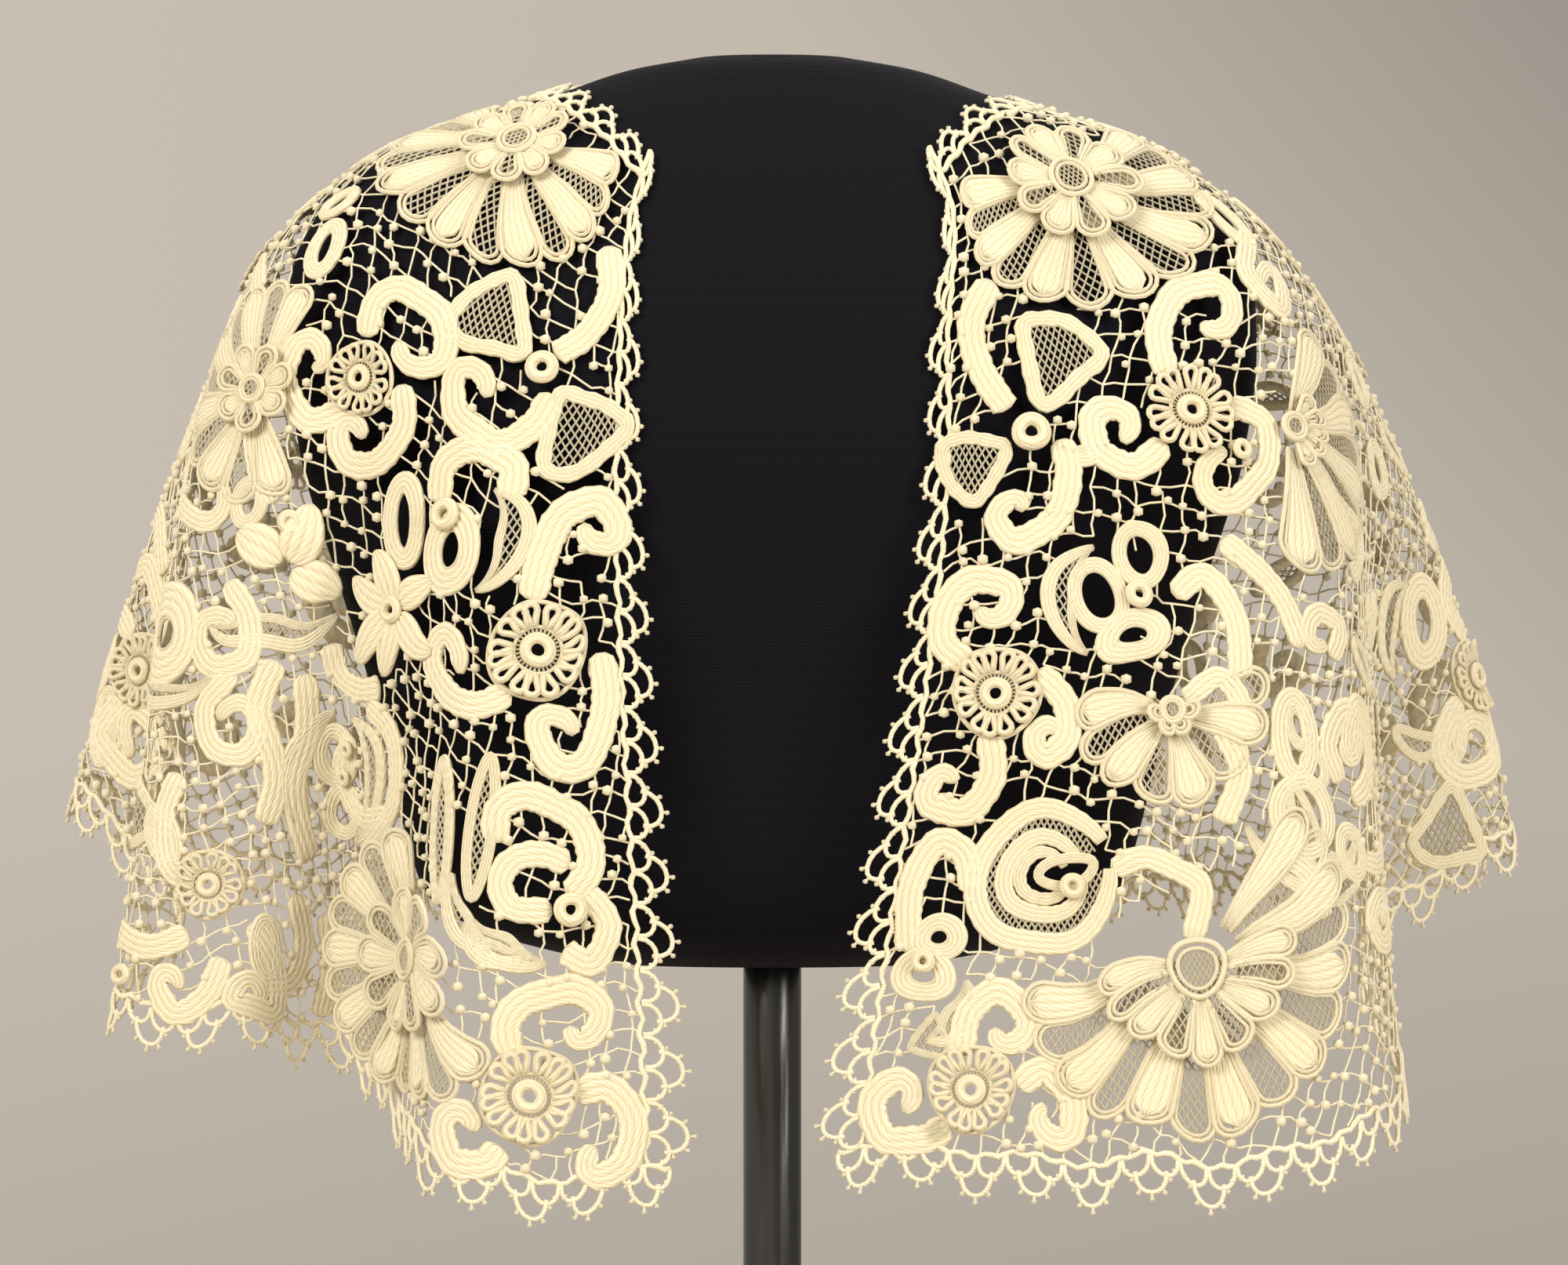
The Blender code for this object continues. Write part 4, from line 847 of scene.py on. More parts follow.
    def build(self, material: bpy.types.Material, *nodes: str, slot: str = "cotton_motif") -> bpy.types.Object:
        """Makes the piece an object that rides on the frame.

        Args:
            material: its finish.
            nodes: CAD nodes that it stands for.
            slot: not used.

        Returns:
            The object.
        """
        mesh = bpy.data.meshes.new(self.name)
        points = np.concatenate(self.points) * MM
        corners = np.concatenate(self.corners)
        sizes = np.concatenate(self.sizes)
        starts = np.concatenate([[0], np.cumsum(sizes)[:-1]])
        mesh.vertices.add(len(points))
        mesh.vertices.foreach_set("co", points.astype(np.float32).reshape(-1))
        mesh.loops.add(len(corners))
        mesh.loops.foreach_set("vertex_index", corners.astype(np.int32))
        mesh.polygons.add(len(sizes))
        mesh.polygons.foreach_set("loop_start", starts.astype(np.int32))
        mesh.update(calc_edges=True)
        chart = mesh.uv_layers.new(name="stitches")
        chart.uv.foreach_set("vector", np.concatenate(self.places).astype(np.float32).reshape(-1))
        mesh.shade_smooth()
        mesh.validate()
        mesh.materials.append(material)
        piece = bpy.data.objects.new(self.name, mesh)
        bpy.context.scene.collection.objects.link(piece)
        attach(piece, ROOT)
        if nodes:
            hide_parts(*nodes)
        LOG.info("%s: %d triangles", self.name, self.triangles())
        return piece


class Worker:
    """Works cords, bands and meshes in a spot's flat frame and lays them on the cloth."""

    cord = round_section(1.0, 6)
    thin_cord = round_section(0.85, 5)
    thread = round_section(0.5, 3)
    band = ribbed_section(4, 1.55, 0.65)
    petal = ribbed_section(4, 1.1, 0.5)

    def __init__(self, piece: Crochet, coverage: Coverage) -> None:
        """Works into one piece.

        Args:
            piece: the mesh that grows.
            coverage: what the motifs take from the net.
        """
        self.piece = piece
        self.coverage = coverage

    def lay(self, spot: Spot, local: np.ndarray, section: np.ndarray, lift: float, **more: object) -> None:
        """Sweeps a section along a local path."""
        points, normals = spot.laid(local)
        self.piece.sweep(points, normals, section, lift=lift, **more)

    def ring(self, spot: Spot, radius: float, thick: float, lift: float, count: int = 28) -> None:
        """A closed ring of cord round the spot."""
        turn = np.linspace(0, 2 * math.pi, count, endpoint=False)
        local = np.stack([np.cos(turn), np.sin(turn)], axis=1) * radius
        self.lay(spot, local, round_section(thick, 7), lift, closed=True)

    def net_between(
        self, spot: Spot, inside: "Inside", extent: tuple[float, float, float, float], lift: float, pitch: float
    ) -> None:
        """A fine diamond mesh where a test says so.

        Args:
            spot: the frame.
            inside: takes local points and says which are in the mesh.
            extent: lowest and highest a and b to try.
            lift: height above the cloth.
            pitch: size of the mesh.
        """
        rows = int((extent[3] - extent[2]) / (pitch * 0.82)) + 2
        columns = int((extent[1] - extent[0]) / pitch) + 2
        i, j = np.meshgrid(np.arange(rows), np.arange(columns), indexing="ij")
        a = extent[0] + (j + (i % 2) * 0.5) * pitch
        b = extent[2] + i * pitch * 0.82
        nodes = np.stack([a, b], axis=-1)
        starts, ends = [], []
        for shift in (0, 1):
            for parity in (0, 1):
                lower = nodes[parity:-1:2]
                upper = nodes[parity + 1::2][: len(lower)]
                side = shift if parity else -shift
                if side > 0:
                    lower, upper = lower[:, :-1], upper[:, 1:]
                elif side < 0:
                    lower, upper = lower[:, 1:], upper[:, :-1]
                starts.append(lower.reshape(-1, 2))
                ends.append(upper.reshape(-1, 2))
        start, end = np.concatenate(starts), np.concatenate(ends)
        keep = inside((start + end) / 2)
        start, end = start[keep], end[keep]
        if not len(start):
            return
        local = np.stack([start, end], axis=1)
        points, normals = spot.laid(local)
        self.piece.sweep(points, normals, self.thread, lift=lift, capped=False)


class Inside:
    """A test of local points against a closed outline, optionally drawn in."""

    def __init__(self, outline: np.ndarray) -> None:
        """Keeps the outline's points."""
        self.outline = np.asarray(outline, float)

    def __call__(self, points: np.ndarray) -> np.ndarray:
        """Whether each point is inside."""
        x, y = points[:, 0][:, None], points[:, 1][:, None]
        x0, y0 = self.outline.T
        x1, y1 = np.roll(x0, -1), np.roll(y0, -1)
        crosses = (y0 > y) != (y1 > y)
        with np.errstate(divide="ignore", invalid="ignore"):
            where = (x1 - x0) * (y - y0) / (y1 - y0) + x0
        return (np.sum(crosses & (x < where), axis=1) % 2).astype(bool)


def turned(local: np.ndarray, degrees: float) -> np.ndarray:
    """Local points turned anticlockwise about the spot."""
    angle = math.radians(degrees)
    spin = np.array([[math.cos(angle), -math.sin(angle)], [math.sin(angle), math.cos(angle)]])
    return local @ spin.T


class Petal:
    """One petal of a flower: a doubled cord round a ribbed or meshed middle, pointing along +a."""

    def __init__(self, inner: float, outer: float, half_width: float) -> None:
        """Works out its outline.

        Args:
            inner: where it starts.
            outer: how far its tip reaches.
            half_width: at its widest.
        """
        self.inner, self.outer, self.half_width = inner, outer, half_width
        round_at = outer - half_width
        start = half_width * max(inner / round_at, 0.2)
        turn = np.linspace(-math.pi / 2, math.pi / 2, 9)
        cap = np.stack([round_at + np.cos(turn) * half_width, np.sin(turn) * half_width], axis=1)
        left = np.linspace([inner, -start], cap[0], 6)[:-1]
        self.outline = np.concatenate([left, cap, (left * [1, -1])[::-1]])
        self.round_at, self.start = round_at, start

    def drawn_in(self, by: float) -> np.ndarray:
        """The outline drawn in by some mm."""
        smaller = Petal(self.inner + by * 0.3, self.outer - by, max(self.half_width - by, 0.3))
        return smaller.outline

    def work(self, hand: Worker, spot: Spot, degrees: float, fill: Mesh, lift: float, rise: float) -> None:
        """Lays the petal on the cloth.

        Args:
            hand: the worker.
            spot: the flower's frame.
            degrees: where it points.
            fill: ribbed or meshed.
            lift: height above the cloth at its root.
            rise: how much more at its tip.
        """
        along = np.linspace(0.0, 1.0, len(self.outline))
        slope = rise * np.sin(np.pi * along)
        for by, section in ((0.0, hand.cord), (1.9, hand.thin_cord)):
            path, normals = spot.laid(turned(self.drawn_in(by) if by else self.outline, degrees))
            path = path + normals * slope[:, None]
            hand.piece.sweep(path, normals, section, lift=lift)
        if fill is Mesh.RIBBED:
            count = 13
            length = self.outer - 2.0 - self.inner
            line = np.stack([np.linspace(self.inner, self.inner + length, count), np.zeros(count)], axis=1)
            share = (line[:, 0] - self.inner) / length
            reach = self.start + (self.half_width - self.start) * np.minimum(share * 1.25, 1.0)
            cap = min(self.half_width / length, 0.4)
            tip = np.sqrt(np.clip(1 - np.clip((share - 1 + cap) / cap, 0, 1) ** 2, 0.0, 1))
            widths = np.maximum((reach - 1.3) * tip, 0.12)
            path, normals = spot.laid(turned(line, degrees))
            path = path + normals * (rise * share)[:, None]
            hand.piece.sweep(path, normals, hand.petal, widths=widths, lift=lift - 0.2)
            return
        outline = turned(self.drawn_in(1.4), degrees)
        low, high = outline.min(axis=0), outline.max(axis=0)
        extent = (low[0], high[0], low[1], high[1])
        hand.net_between(spot, Inside(outline), extent, lift + rise * 0.6, 2.9)


class Flower:
    """A large flower: a fan of long petals, a raised ring of short ones and a meshed button."""

    def __init__(self, spec: FlowerSpec) -> None:
        """Keeps its sizes."""
        self.spec = spec

    def spot(self, drape: Drape) -> Spot:
        """Where it lies."""
        if self.spec.on_back:
            depth, degrees = self.spec.place
            return Spot(drape, 0.5 + math.radians(degrees) / PATTERN_SPREAD, depth / PATTERN_DEPTH)
        return Spot(drape, *drape.locate(self.spec.place), lean=self.spec.lean)

    def work(self, hand: Worker, drape: Drape) -> None:
        """Lays both layers and the button on the cloth."""
        spec = self.spec
        spot = self.spot(drape)
        step = spec.sweep / spec.petals
        half = spec.reach * math.sin(math.radians(min(step, 60.0)) / 2) * 1.06
        half /= 1 + math.sin(math.radians(min(step, 60.0)) / 2)
        lower = Petal(spec.upper_reach * 0.45, spec.reach, half)
        for k in range(spec.petals):
            fill = Mesh.NET if k % 2 else Mesh.RIBBED
            lower.work(hand, spot, spec.start + (k + 0.5) * step, fill, 0.7 + 0.5 * (k % 2 == 0), 0.6)
        upper_step = spec.upper_sweep / spec.upper_petals
        wide = spec.upper_reach * math.sin(math.radians(upper_step) / 2) * 0.95
        wide /= 1 + math.sin(math.radians(upper_step) / 2)
        upper = Petal(spec.button * 0.8, spec.upper_reach, wide)
        for k in range(spec.upper_petals):
            fill = Mesh.NET if k % 2 else Mesh.RIBBED
            degrees = spec.upper_start + (k + 0.5) * upper_step
            upper.work(hand, spot, degrees, fill, 3.6 + 0.4 * (k % 2), 2.2)
        hand.ring(spot, spec.button, 1.15, 5.2)
        hand.ring(spot, spec.button * 0.72, 0.8, 5.4, 20)
        circle = np.linspace(0, 2 * math.pi, 24, endpoint=False)
        disc = np.stack([np.cos(circle), np.sin(circle)], axis=1) * spec.button * 0.8
        extent = (-spec.button, spec.button, -spec.button, spec.button)
        hand.net_between(spot, Inside(disc), extent, 5.0, 2.1)
        self.cover(hand, spot, step, half)

    def cover(self, hand: Worker, spot: Spot, step: float, half: float) -> None:
        """Takes the flower's own place from the net."""
        spec = self.spec
        rays = spec.start + (np.arange(spec.petals * 2) + 0.5) * step / 2
        for share in np.linspace(0.2, 1.0, 7):
            radius = (spec.reach - half - 1.0) * share
            ring = np.radians(rays)
            local = np.stack([np.cos(ring), np.sin(ring)], axis=1) * radius
            hand.coverage.stamp(spot.flat(local), max(half * share, 3.5))
        turn = np.linspace(0, 2 * math.pi, 20, endpoint=False)
        for share in (0.3, 0.7):
            local = np.stack([np.cos(turn), np.sin(turn)], axis=1) * spec.upper_reach * share
            hand.coverage.stamp(spot.flat(local), spec.upper_reach * 0.28)


class Rose:
    """A rose: a padded ring with spokes, a ring of cord loops and often an outer cord."""

    def __init__(self, radius: float, ringed: bool = True) -> None:
        """Keeps its sizes.

        Args:
            radius: outer radius in mm.
            ringed: whether a cord rings the loops.
        """
        self.radius, self.ringed = radius, ringed

    def work(self, hand: Worker, spot: Spot) -> None:
        """Lays the rose on the cloth."""
        radius = self.radius
        core = radius * 0.24
        hand.ring(spot, core, radius * 0.125, 2.6, 24)
        loops = 13 if radius < 15 else 15
        turn = 2 * math.pi * np.arange(loops * 2) / (loops * 2)
        ray = np.stack([np.cos(turn), np.sin(turn)], axis=1)
        spokes = np.stack([ray * core * 1.2, ray * radius * 0.5], axis=1)
        points, normals = spot.laid(spokes)
        hand.piece.sweep(points, normals, round_section(0.5, 4), lift=1.6)
        hand.ring(spot, radius * 0.47, 0.75, 1.9, 32)
        inner, outer = radius * 0.5, radius * (0.93 if self.ringed else 1.0)
        half = outer * math.sin(math.pi / loops) * 0.78
        half /= 1 + math.sin(math.pi / loops) * 0.78
        bend = np.linspace(-math.pi / 2, math.pi / 2, 7)
        tip = np.stack([outer - half + np.cos(bend) * half, np.sin(bend) * half], axis=1)
        foot = np.array([[inner, -half * 0.25], [inner + (outer - inner) * 0.35, -half * 0.62]])
        loop = np.concatenate([foot, tip, (foot * [1, -1])[::-1]])
        rise = np.sin(np.pi * np.linspace(0, 1, len(loop))) * 1.5
        for k in range(loops):
            path, normals = spot.laid(turned(loop, 360.0 / loops * (k + 0.3 * (k % 3 == 1))))
            path = path + normals * rise[:, None]
            hand.piece.sweep(path, normals, round_section(radius * 0.07, 6), lift=2.0)
        if self.ringed:
            hand.ring(spot, radius * 0.98, 0.95, 1.2, 44)
        for share in (0.0, 0.5, 0.8):
            around = np.linspace(0, 2 * math.pi, 16, endpoint=False)
            local = np.stack([np.cos(around), np.sin(around)], axis=1) * radius * share
            hand.coverage.stamp(spot.flat(local), radius * 0.26)


class Scroll:
    """A padded, ribbed band that may end in a curl."""

    samples = 34
    curl_turn = 1.25 * math.pi

    def __init__(self, half_width: float, guide: np.ndarray, curl: Optional[np.ndarray]) -> None:
        """Works out its line in the flat pattern.

        Args:
            half_width: of the band in mm.
            guide: points of the flat pattern that it passes.
            curl: the curl's centre in the flat pattern, or none.
        """
        self.half_width = half_width
        guide = np.asarray(guide, float)
        if curl is None:
            self.line = rounded_path(guide, self.samples)
            self.curled = False
            return
        arm = guide[-1] - curl
        before = guide[-2] - curl
        side = 1.0 if before[0] * arm[1] - before[1] * arm[0] > 0 else -1.0
        start = math.atan2(arm[1], arm[0])
        share = np.linspace(0.12, 1.0, 9)
        radius = np.linalg.norm(arm) * (1.0 - 0.62 * share)
        angle = start + side * self.curl_turn * share
        spiral = curl + np.stack([np.cos(angle), np.sin(angle)], axis=1) * radius[:, None]
        self.line = rounded_path(np.concatenate([guide, spiral]), self.samples + 16)
        self.curled = True

    def work(self, hand: Worker, drape: Drape) -> None:
        """Lays the band on the cloth."""
        count = len(self.line)
        share = np.linspace(0.0, 1.0, count)
        ends = np.clip(np.minimum(share / 0.07, (1.0 - share) / 0.05), 0.0, 1.0)
        widths = self.half_width * (0.35 + 0.65 * np.sqrt(ends * (2 - ends)))
        if self.curled:
            widths = widths * (1.0 - 0.34 * np.clip((share - 0.62) / 0.38, 0, 1))
        run = np.linalg.norm(np.diff(self.line, axis=0), axis=1).sum() * share
        widths = widths * (1.0 + 0.05 * np.sin(run * 1.25) + 0.025 * np.sin(run * 0.51 + self.half_width))
        heights = 0.55 + 0.45 * ends
        points, normals = drape.surface(*from_flat(self.line))
        hand.piece.sweep(points, normals, hand.band, widths=widths, heights=heights, lift=0.4)
        hand.coverage.stamp(self.line[::2], self.half_width * 0.8)


class Loop:
    """A ribbed band closed round an open centre."""

    def __init__(self, half_width: float, half_height: float, hole_width: float, hole_height: float) -> None:
        """Keeps its outer half sizes and those of its hole."""
        self.outer = np.array([half_width, half_height])
        self.hole = np.array([hole_width, hole_height])

    def work(self, hand: Worker, spot: Spot) -> None:
        """Lays the loop on the cloth and keeps the net out of its hole."""
        turn = np.linspace(0, 2 * math.pi, 40, endpoint=False)
        ray = np.stack([np.cos(turn), np.sin(turn)], axis=1)
        middle = ray * (self.outer + self.hole) / 2
        reach = np.linalg.norm(ray * (self.outer - self.hole) / 2, axis=1)
        reach = np.maximum(reach, 1.2) * (1.0 + 0.06 * np.sin(turn * 2 + 0.6))
        hand.lay(spot, middle, hand.band, 0.4, widths=reach, closed=True)
        hand.lay(spot, ray * self.hole * 1.04, round_section(0.8, 5), 0.6, closed=True)
        hand.coverage.stamp(spot.flat(middle), float(reach.mean()) * 0.85)
        for share in (0.0, 0.45, 0.9):
            hand.coverage.stamp(spot.flat(ray * self.hole * share), 2.2)


class Leaf:
    """A long loop with a meshed slit."""

    def __init__(self, half_width: float, half_height: float) -> None:
        """Keeps its half sizes."""
        self.half_width, self.half_height = half_width, half_height

    def work(self, hand: Worker, spot: Spot) -> None:
        """Lays the leaf on the cloth."""
        turn = np.linspace(0, 2 * math.pi, 44, endpoint=False)
        pinch = 1.0 - 0.25 * np.abs(np.sin(turn)) ** 4
        ray = np.stack([np.cos(turn) * pinch, np.sin(turn)], axis=1)
        middle = ray * [self.half_width * 0.66, self.half_height * 0.9]
        hand.lay(spot, middle, hand.band, 0.4, widths=np.full(44, self.half_width * 0.33), closed=True)
        outline = ray * [self.half_width * 0.5, self.half_height * 0.84]
        extent = (-self.half_width, self.half_width, -self.half_height, self.half_height)
        hand.net_between(spot, Inside(outline), extent, 0.8, 2.5)
        for share in np.linspace(-0.9, 0.9, 9):
            hand.coverage.stamp(spot.flat(np.array([[0.0, self.half_height * share]])), self.half_width * 0.8)


class Crescent:
    """Two ribbed arcs with mesh between them."""

    def __init__(self, radius: float, start: float, end: float, width: float) -> None:
        """Keeps its sizes.

        Args:
            radius: of the outer arc.
            start: first angle in degrees.
            end: last angle.
            width: between the arcs at the middle.
        """
        self.radius, self.width = radius, width
        self.turn = np.radians(np.linspace(start, end, 26))

    def arc(self, share: float) -> np.ndarray:
        """An arc between the outer one, at 0, and the inner one, at 1."""
        swell = np.sin(np.linspace(0, math.pi, len(self.turn)))
        radius = self.radius - swell * self.width * share
        return np.stack([np.cos(self.turn), np.sin(self.turn)], axis=1) * radius[:, None]

    def work(self, hand: Worker, spot: Spot) -> None:
        """Lays the crescent on the cloth."""
        ends = np.sin(np.linspace(0.12, math.pi - 0.12, len(self.turn))) ** 0.5
        hand.lay(spot, self.arc(0.0), hand.band, 0.4, widths=3.0 * ends)
        hand.lay(spot, self.arc(1.0), hand.band, 0.4, widths=1.9 * ends)
        outline = np.concatenate([self.arc(0.12), self.arc(0.88)[::-1]])
        low, high = outline.min(axis=0), outline.max(axis=0)
        hand.net_between(spot, Inside(outline), (low[0], high[0], low[1], high[1]), 0.9, 2.9)
        for share in (0.0, 0.5, 1.0):
            hand.coverage.stamp(spot.flat(self.arc(share)), 3.0)


class Fan:
    """A wedge of mesh in a thick rim, wide at one end and pinched at its apex."""

    def __init__(self, length: float, spread: float) -> None:
        """Keeps its length and spread in degrees."""
        self.length, self.spread = length, spread

    def outline(self, scale: float) -> np.ndarray:
        """Its outline with the apex near the spot, pointing along +a."""
        half = math.radians(self.spread / 2)
        rim = np.linspace(-half, half, 9)
        bulge = 1.0 - 0.06 * np.abs(np.sin(rim * 3.2 / half))
        far = np.stack([np.cos(rim), np.sin(rim)], axis=1) * (self.length * bulge)[:, None]
        middle = np.array([self.length * 0.62, 0.0])
        near = np.array([[self.length * 0.04, 0.0]])
        outline = spaced(np.concatenate([near, far, near]), 46)[:-1]
        for _ in range(11):
            outline = (np.roll(outline, 1, axis=0) + outline * 2 + np.roll(outline, -1, axis=0)) / 4
        return (outline - middle) * scale + middle

    def work(self, hand: Worker, spot: Spot, degrees: float) -> None:
        """Lays the fan on the cloth, pointing the given way."""
        rim = turned(self.outline(0.98), degrees)
        bumps = 1.0 + 0.10 * np.sin(np.linspace(0.0, 26.0 * math.pi, len(rim), endpoint=False))
        widths = self.length * 0.078 * bumps
        hand.lay(spot, rim, hand.band, 0.4, widths=widths, closed=True)
        inner = turned(self.outline(0.92), degrees)
        low, high = inner.min(axis=0), inner.max(axis=0)
        hand.net_between(spot, Inside(inner), (low[0], high[0], low[1], high[1]), 0.9, 2.9)
        for scale in (0.0, 0.35, 0.7, 0.92):
            hand.coverage.stamp(spot.flat(turned(self.outline(scale), degrees)), self.length * 0.13)


class Shell:
    """A round motif of mesh between ribbed rings, open at one side, with a slit loop in the gap."""

    def __init__(self, radius: float, gap_at: float, gap: float) -> None:
        """Keeps its radius, where its gap points and how wide it is in degrees."""
        self.radius, self.gap_at, self.gap = radius, gap_at, gap

    def work(self, hand: Worker, spot: Spot) -> None:
        """Lays the shell on the cloth."""
        turn = np.radians(np.linspace(self.gap / 2, 360.0 - self.gap / 2, 60) + self.gap_at)
        ray = np.stack([np.cos(turn), np.sin(turn)], axis=1)
        ends = np.sin(np.linspace(0.1, math.pi - 0.1, 60)) ** 0.25
        for share, wide in ((0.86, 4.6), (0.5, 3.6), (0.3, 2.6)):
            widths = wide * ends * (1 + 0.05 * np.sin(turn * 40 * share))
            hand.lay(spot, ray * self.radius * share, hand.band, 0.5, widths=widths)
        for low, high in ((0.58, 0.74),):
            outline = np.concatenate([ray * self.radius * low, (ray * self.radius * high)[::-1]])
            reach = self.radius
            hand.net_between(spot, Inside(outline), (-reach, reach, -reach, reach), 0.9, 2.3)
        across = np.linspace(0.0, 2 * math.pi, 24, endpoint=False)
        slit = np.stack([np.cos(across) * self.radius * 0.36, np.sin(across) * self.radius * 0.17], axis=1)
        slit = turned(slit + [self.radius * 0.3, 0.0], self.gap_at)
        hand.lay(spot, slit, hand.band, 1.4, widths=np.full(24, 2.0), closed=True)
        for share in (0.2, 0.5, 0.85):
            hand.coverage.stamp(spot.flat(ray * self.radius * share), self.radius * 0.17)


class Whirl:
    """Leaf-shaped ribbed petals round a small ring, half lifted off the cloth."""

    def __init__(self, length: float, petals: int, start: float, sweep: float, lift: float) -> None:
        """Keeps its sizes and angles."""
        self.length, self.petals, self.start, self.sweep, self.lift = length, petals, start, sweep, lift

    def work(self, hand: Worker, spot: Spot) -> None:
        """Lays the petals on the cloth."""
        count = 16
        share = np.linspace(0.0, 1.0, count)
        half = min(self.length * math.sin(math.radians(self.sweep / self.petals / 2)) * 0.55, 8.5)
        widths = half * (0.18 + 0.82 * np.sin(np.pi * share ** 0.8) ** 0.6)
        for k in range(self.petals):
            degrees = self.start + self.sweep * (k + 0.5) / self.petals
            bend = 0.25 * self.length * share ** 2 * (1 if k % 2 else -0.5)
            local = turned(np.stack([3.0 + share * (self.length - 3.0), bend], axis=1), degrees)
            path, normals = spot.laid(local)
            path = path + normals * (self.lift * np.sin(np.pi * share) + 0.6 * (k % 2))[:, None]
            hand.piece.sweep(path, normals, hand.band, widths=widths, heights=0.9 + 0 * share, lift=0.8)
            hand.coverage.stamp(spot.flat(local), half * 0.8)


class Edging:
    """A padded rim cord with scallops: two inner arches, an outer one and its picots."""

    def __init__(self, piece: Crochet, drape: Drape) -> None:
        """Works into one piece along the drape's rim."""
        self.piece, self.drape = piece, drape

    def scallops(
        self, start: np.ndarray, end: np.ndarray, outward: np.ndarray, count: int, depth: float, cord: float
    ) -> None:
        """A row of scallops along a straight line in u and v.

        Args:
            start: u and v of the rim's start.
            end: u and v of its end.
            outward: u and v per mm off the cloth.
            count: how many scallops.
            depth: how far they reach in mm.
            cord: radius of the rim cord.
        """
        line = np.linspace(0.0, 1.0, count * 8 + 1)[:, None]
        rim = start + (end - start) * line + outward * 0.8 * np.sin(line * count * 4.4 * math.pi)
        points, normals = self.drape.surface(*rim.T)
        run = np.linspace(0.0, count * 2 * math.pi, len(points))
        points = points + normals * (0.35 * np.sin(run))[:, None]
        self.piece.sweep(points, normals, round_section(cord, 7), widths=1.0 + 0.12 * np.sin(run * 2))
        arch = np.linspace(0.0, math.pi, 9)
        small = np.stack([0.25 - 0.235 * np.cos(arch), 0.04 + 0.42 * np.sin(arch) ** 0.8], axis=1)
        tall = np.stack([0.5 - 0.27 * np.cos(arch), 0.36 + 0.50 * np.sin(arch) ** 0.85], axis=1)
        unit_paths = np.stack([small, small + [0.5, 0.0], tall])
        first = np.arange(count)[:, None, None]
        along = (unit_paths[None, :, :, 0] + first[..., None] * 1.0) / count
        away = unit_paths[None, :, :, 1] * depth + 0 * along
        place = self.place(start, end, outward, along, away)
        points, normals = self.drape.surface(place[..., 0], place[..., 1])
        points = points.reshape(-1, *points.shape[-2:])
        self.piece.sweep(points, normals.reshape(points.shape), round_section(0.92, 6), lift=0.3)
        self.picots(start, end, outward, count, depth)

    @staticmethod
    def place(
        start: np.ndarray, end: np.ndarray, outward: np.ndarray, along: np.ndarray, away: np.ndarray
    ) -> np.ndarray:
        """u and v of points along the rim and off it."""
        return start + (end - start) * along[..., None] + outward * away[..., None]

    def picots(self, start: np.ndarray, end: np.ndarray, outward: np.ndarray, count: int, depth: float) -> None:
        """Small knobs on short stems round each outer arch."""
        angles = np.radians([14.0, 48.0, 90.0, 132.0, 166.0])
        root = np.stack([0.5 - 0.27 * np.cos(angles), 0.36 + 0.50 * np.sin(angles) ** 0.85], axis=1)
        tip = np.stack([0.5 - 0.34 * np.cos(angles), 0.38 + 0.62 * np.sin(angles)], axis=1)
        low = np.array([[0.07, 0.34], [0.93, 0.34]])
        root = np.concatenate([root, np.array([[0.12, 0.28], [0.88, 0.28]])])
        tip = np.concatenate([tip, low])
        first = np.arange(count)[:, None, None]
        both = np.stack([root, tip], axis=1)
        along = (both[None, :, :, 0] + first) / count
        away = np.broadcast_to(both[None, :, :, 1] * depth, along.shape)
        place = self.place(start, end, outward, along, away)
        points, normals = self.drape.surface(place[..., 0], place[..., 1])
        points = points.reshape(-1, 2, 3)
        self.piece.sweep(points, normals.reshape(-1, 2, 3), round_section(0.55, 4), lift=0.3)
        tips = points[:, 1] + normals.reshape(-1, 2, 3)[:, 1] * 0.3
        self.piece.balls(tips, np.full(len(tips), 1.05))


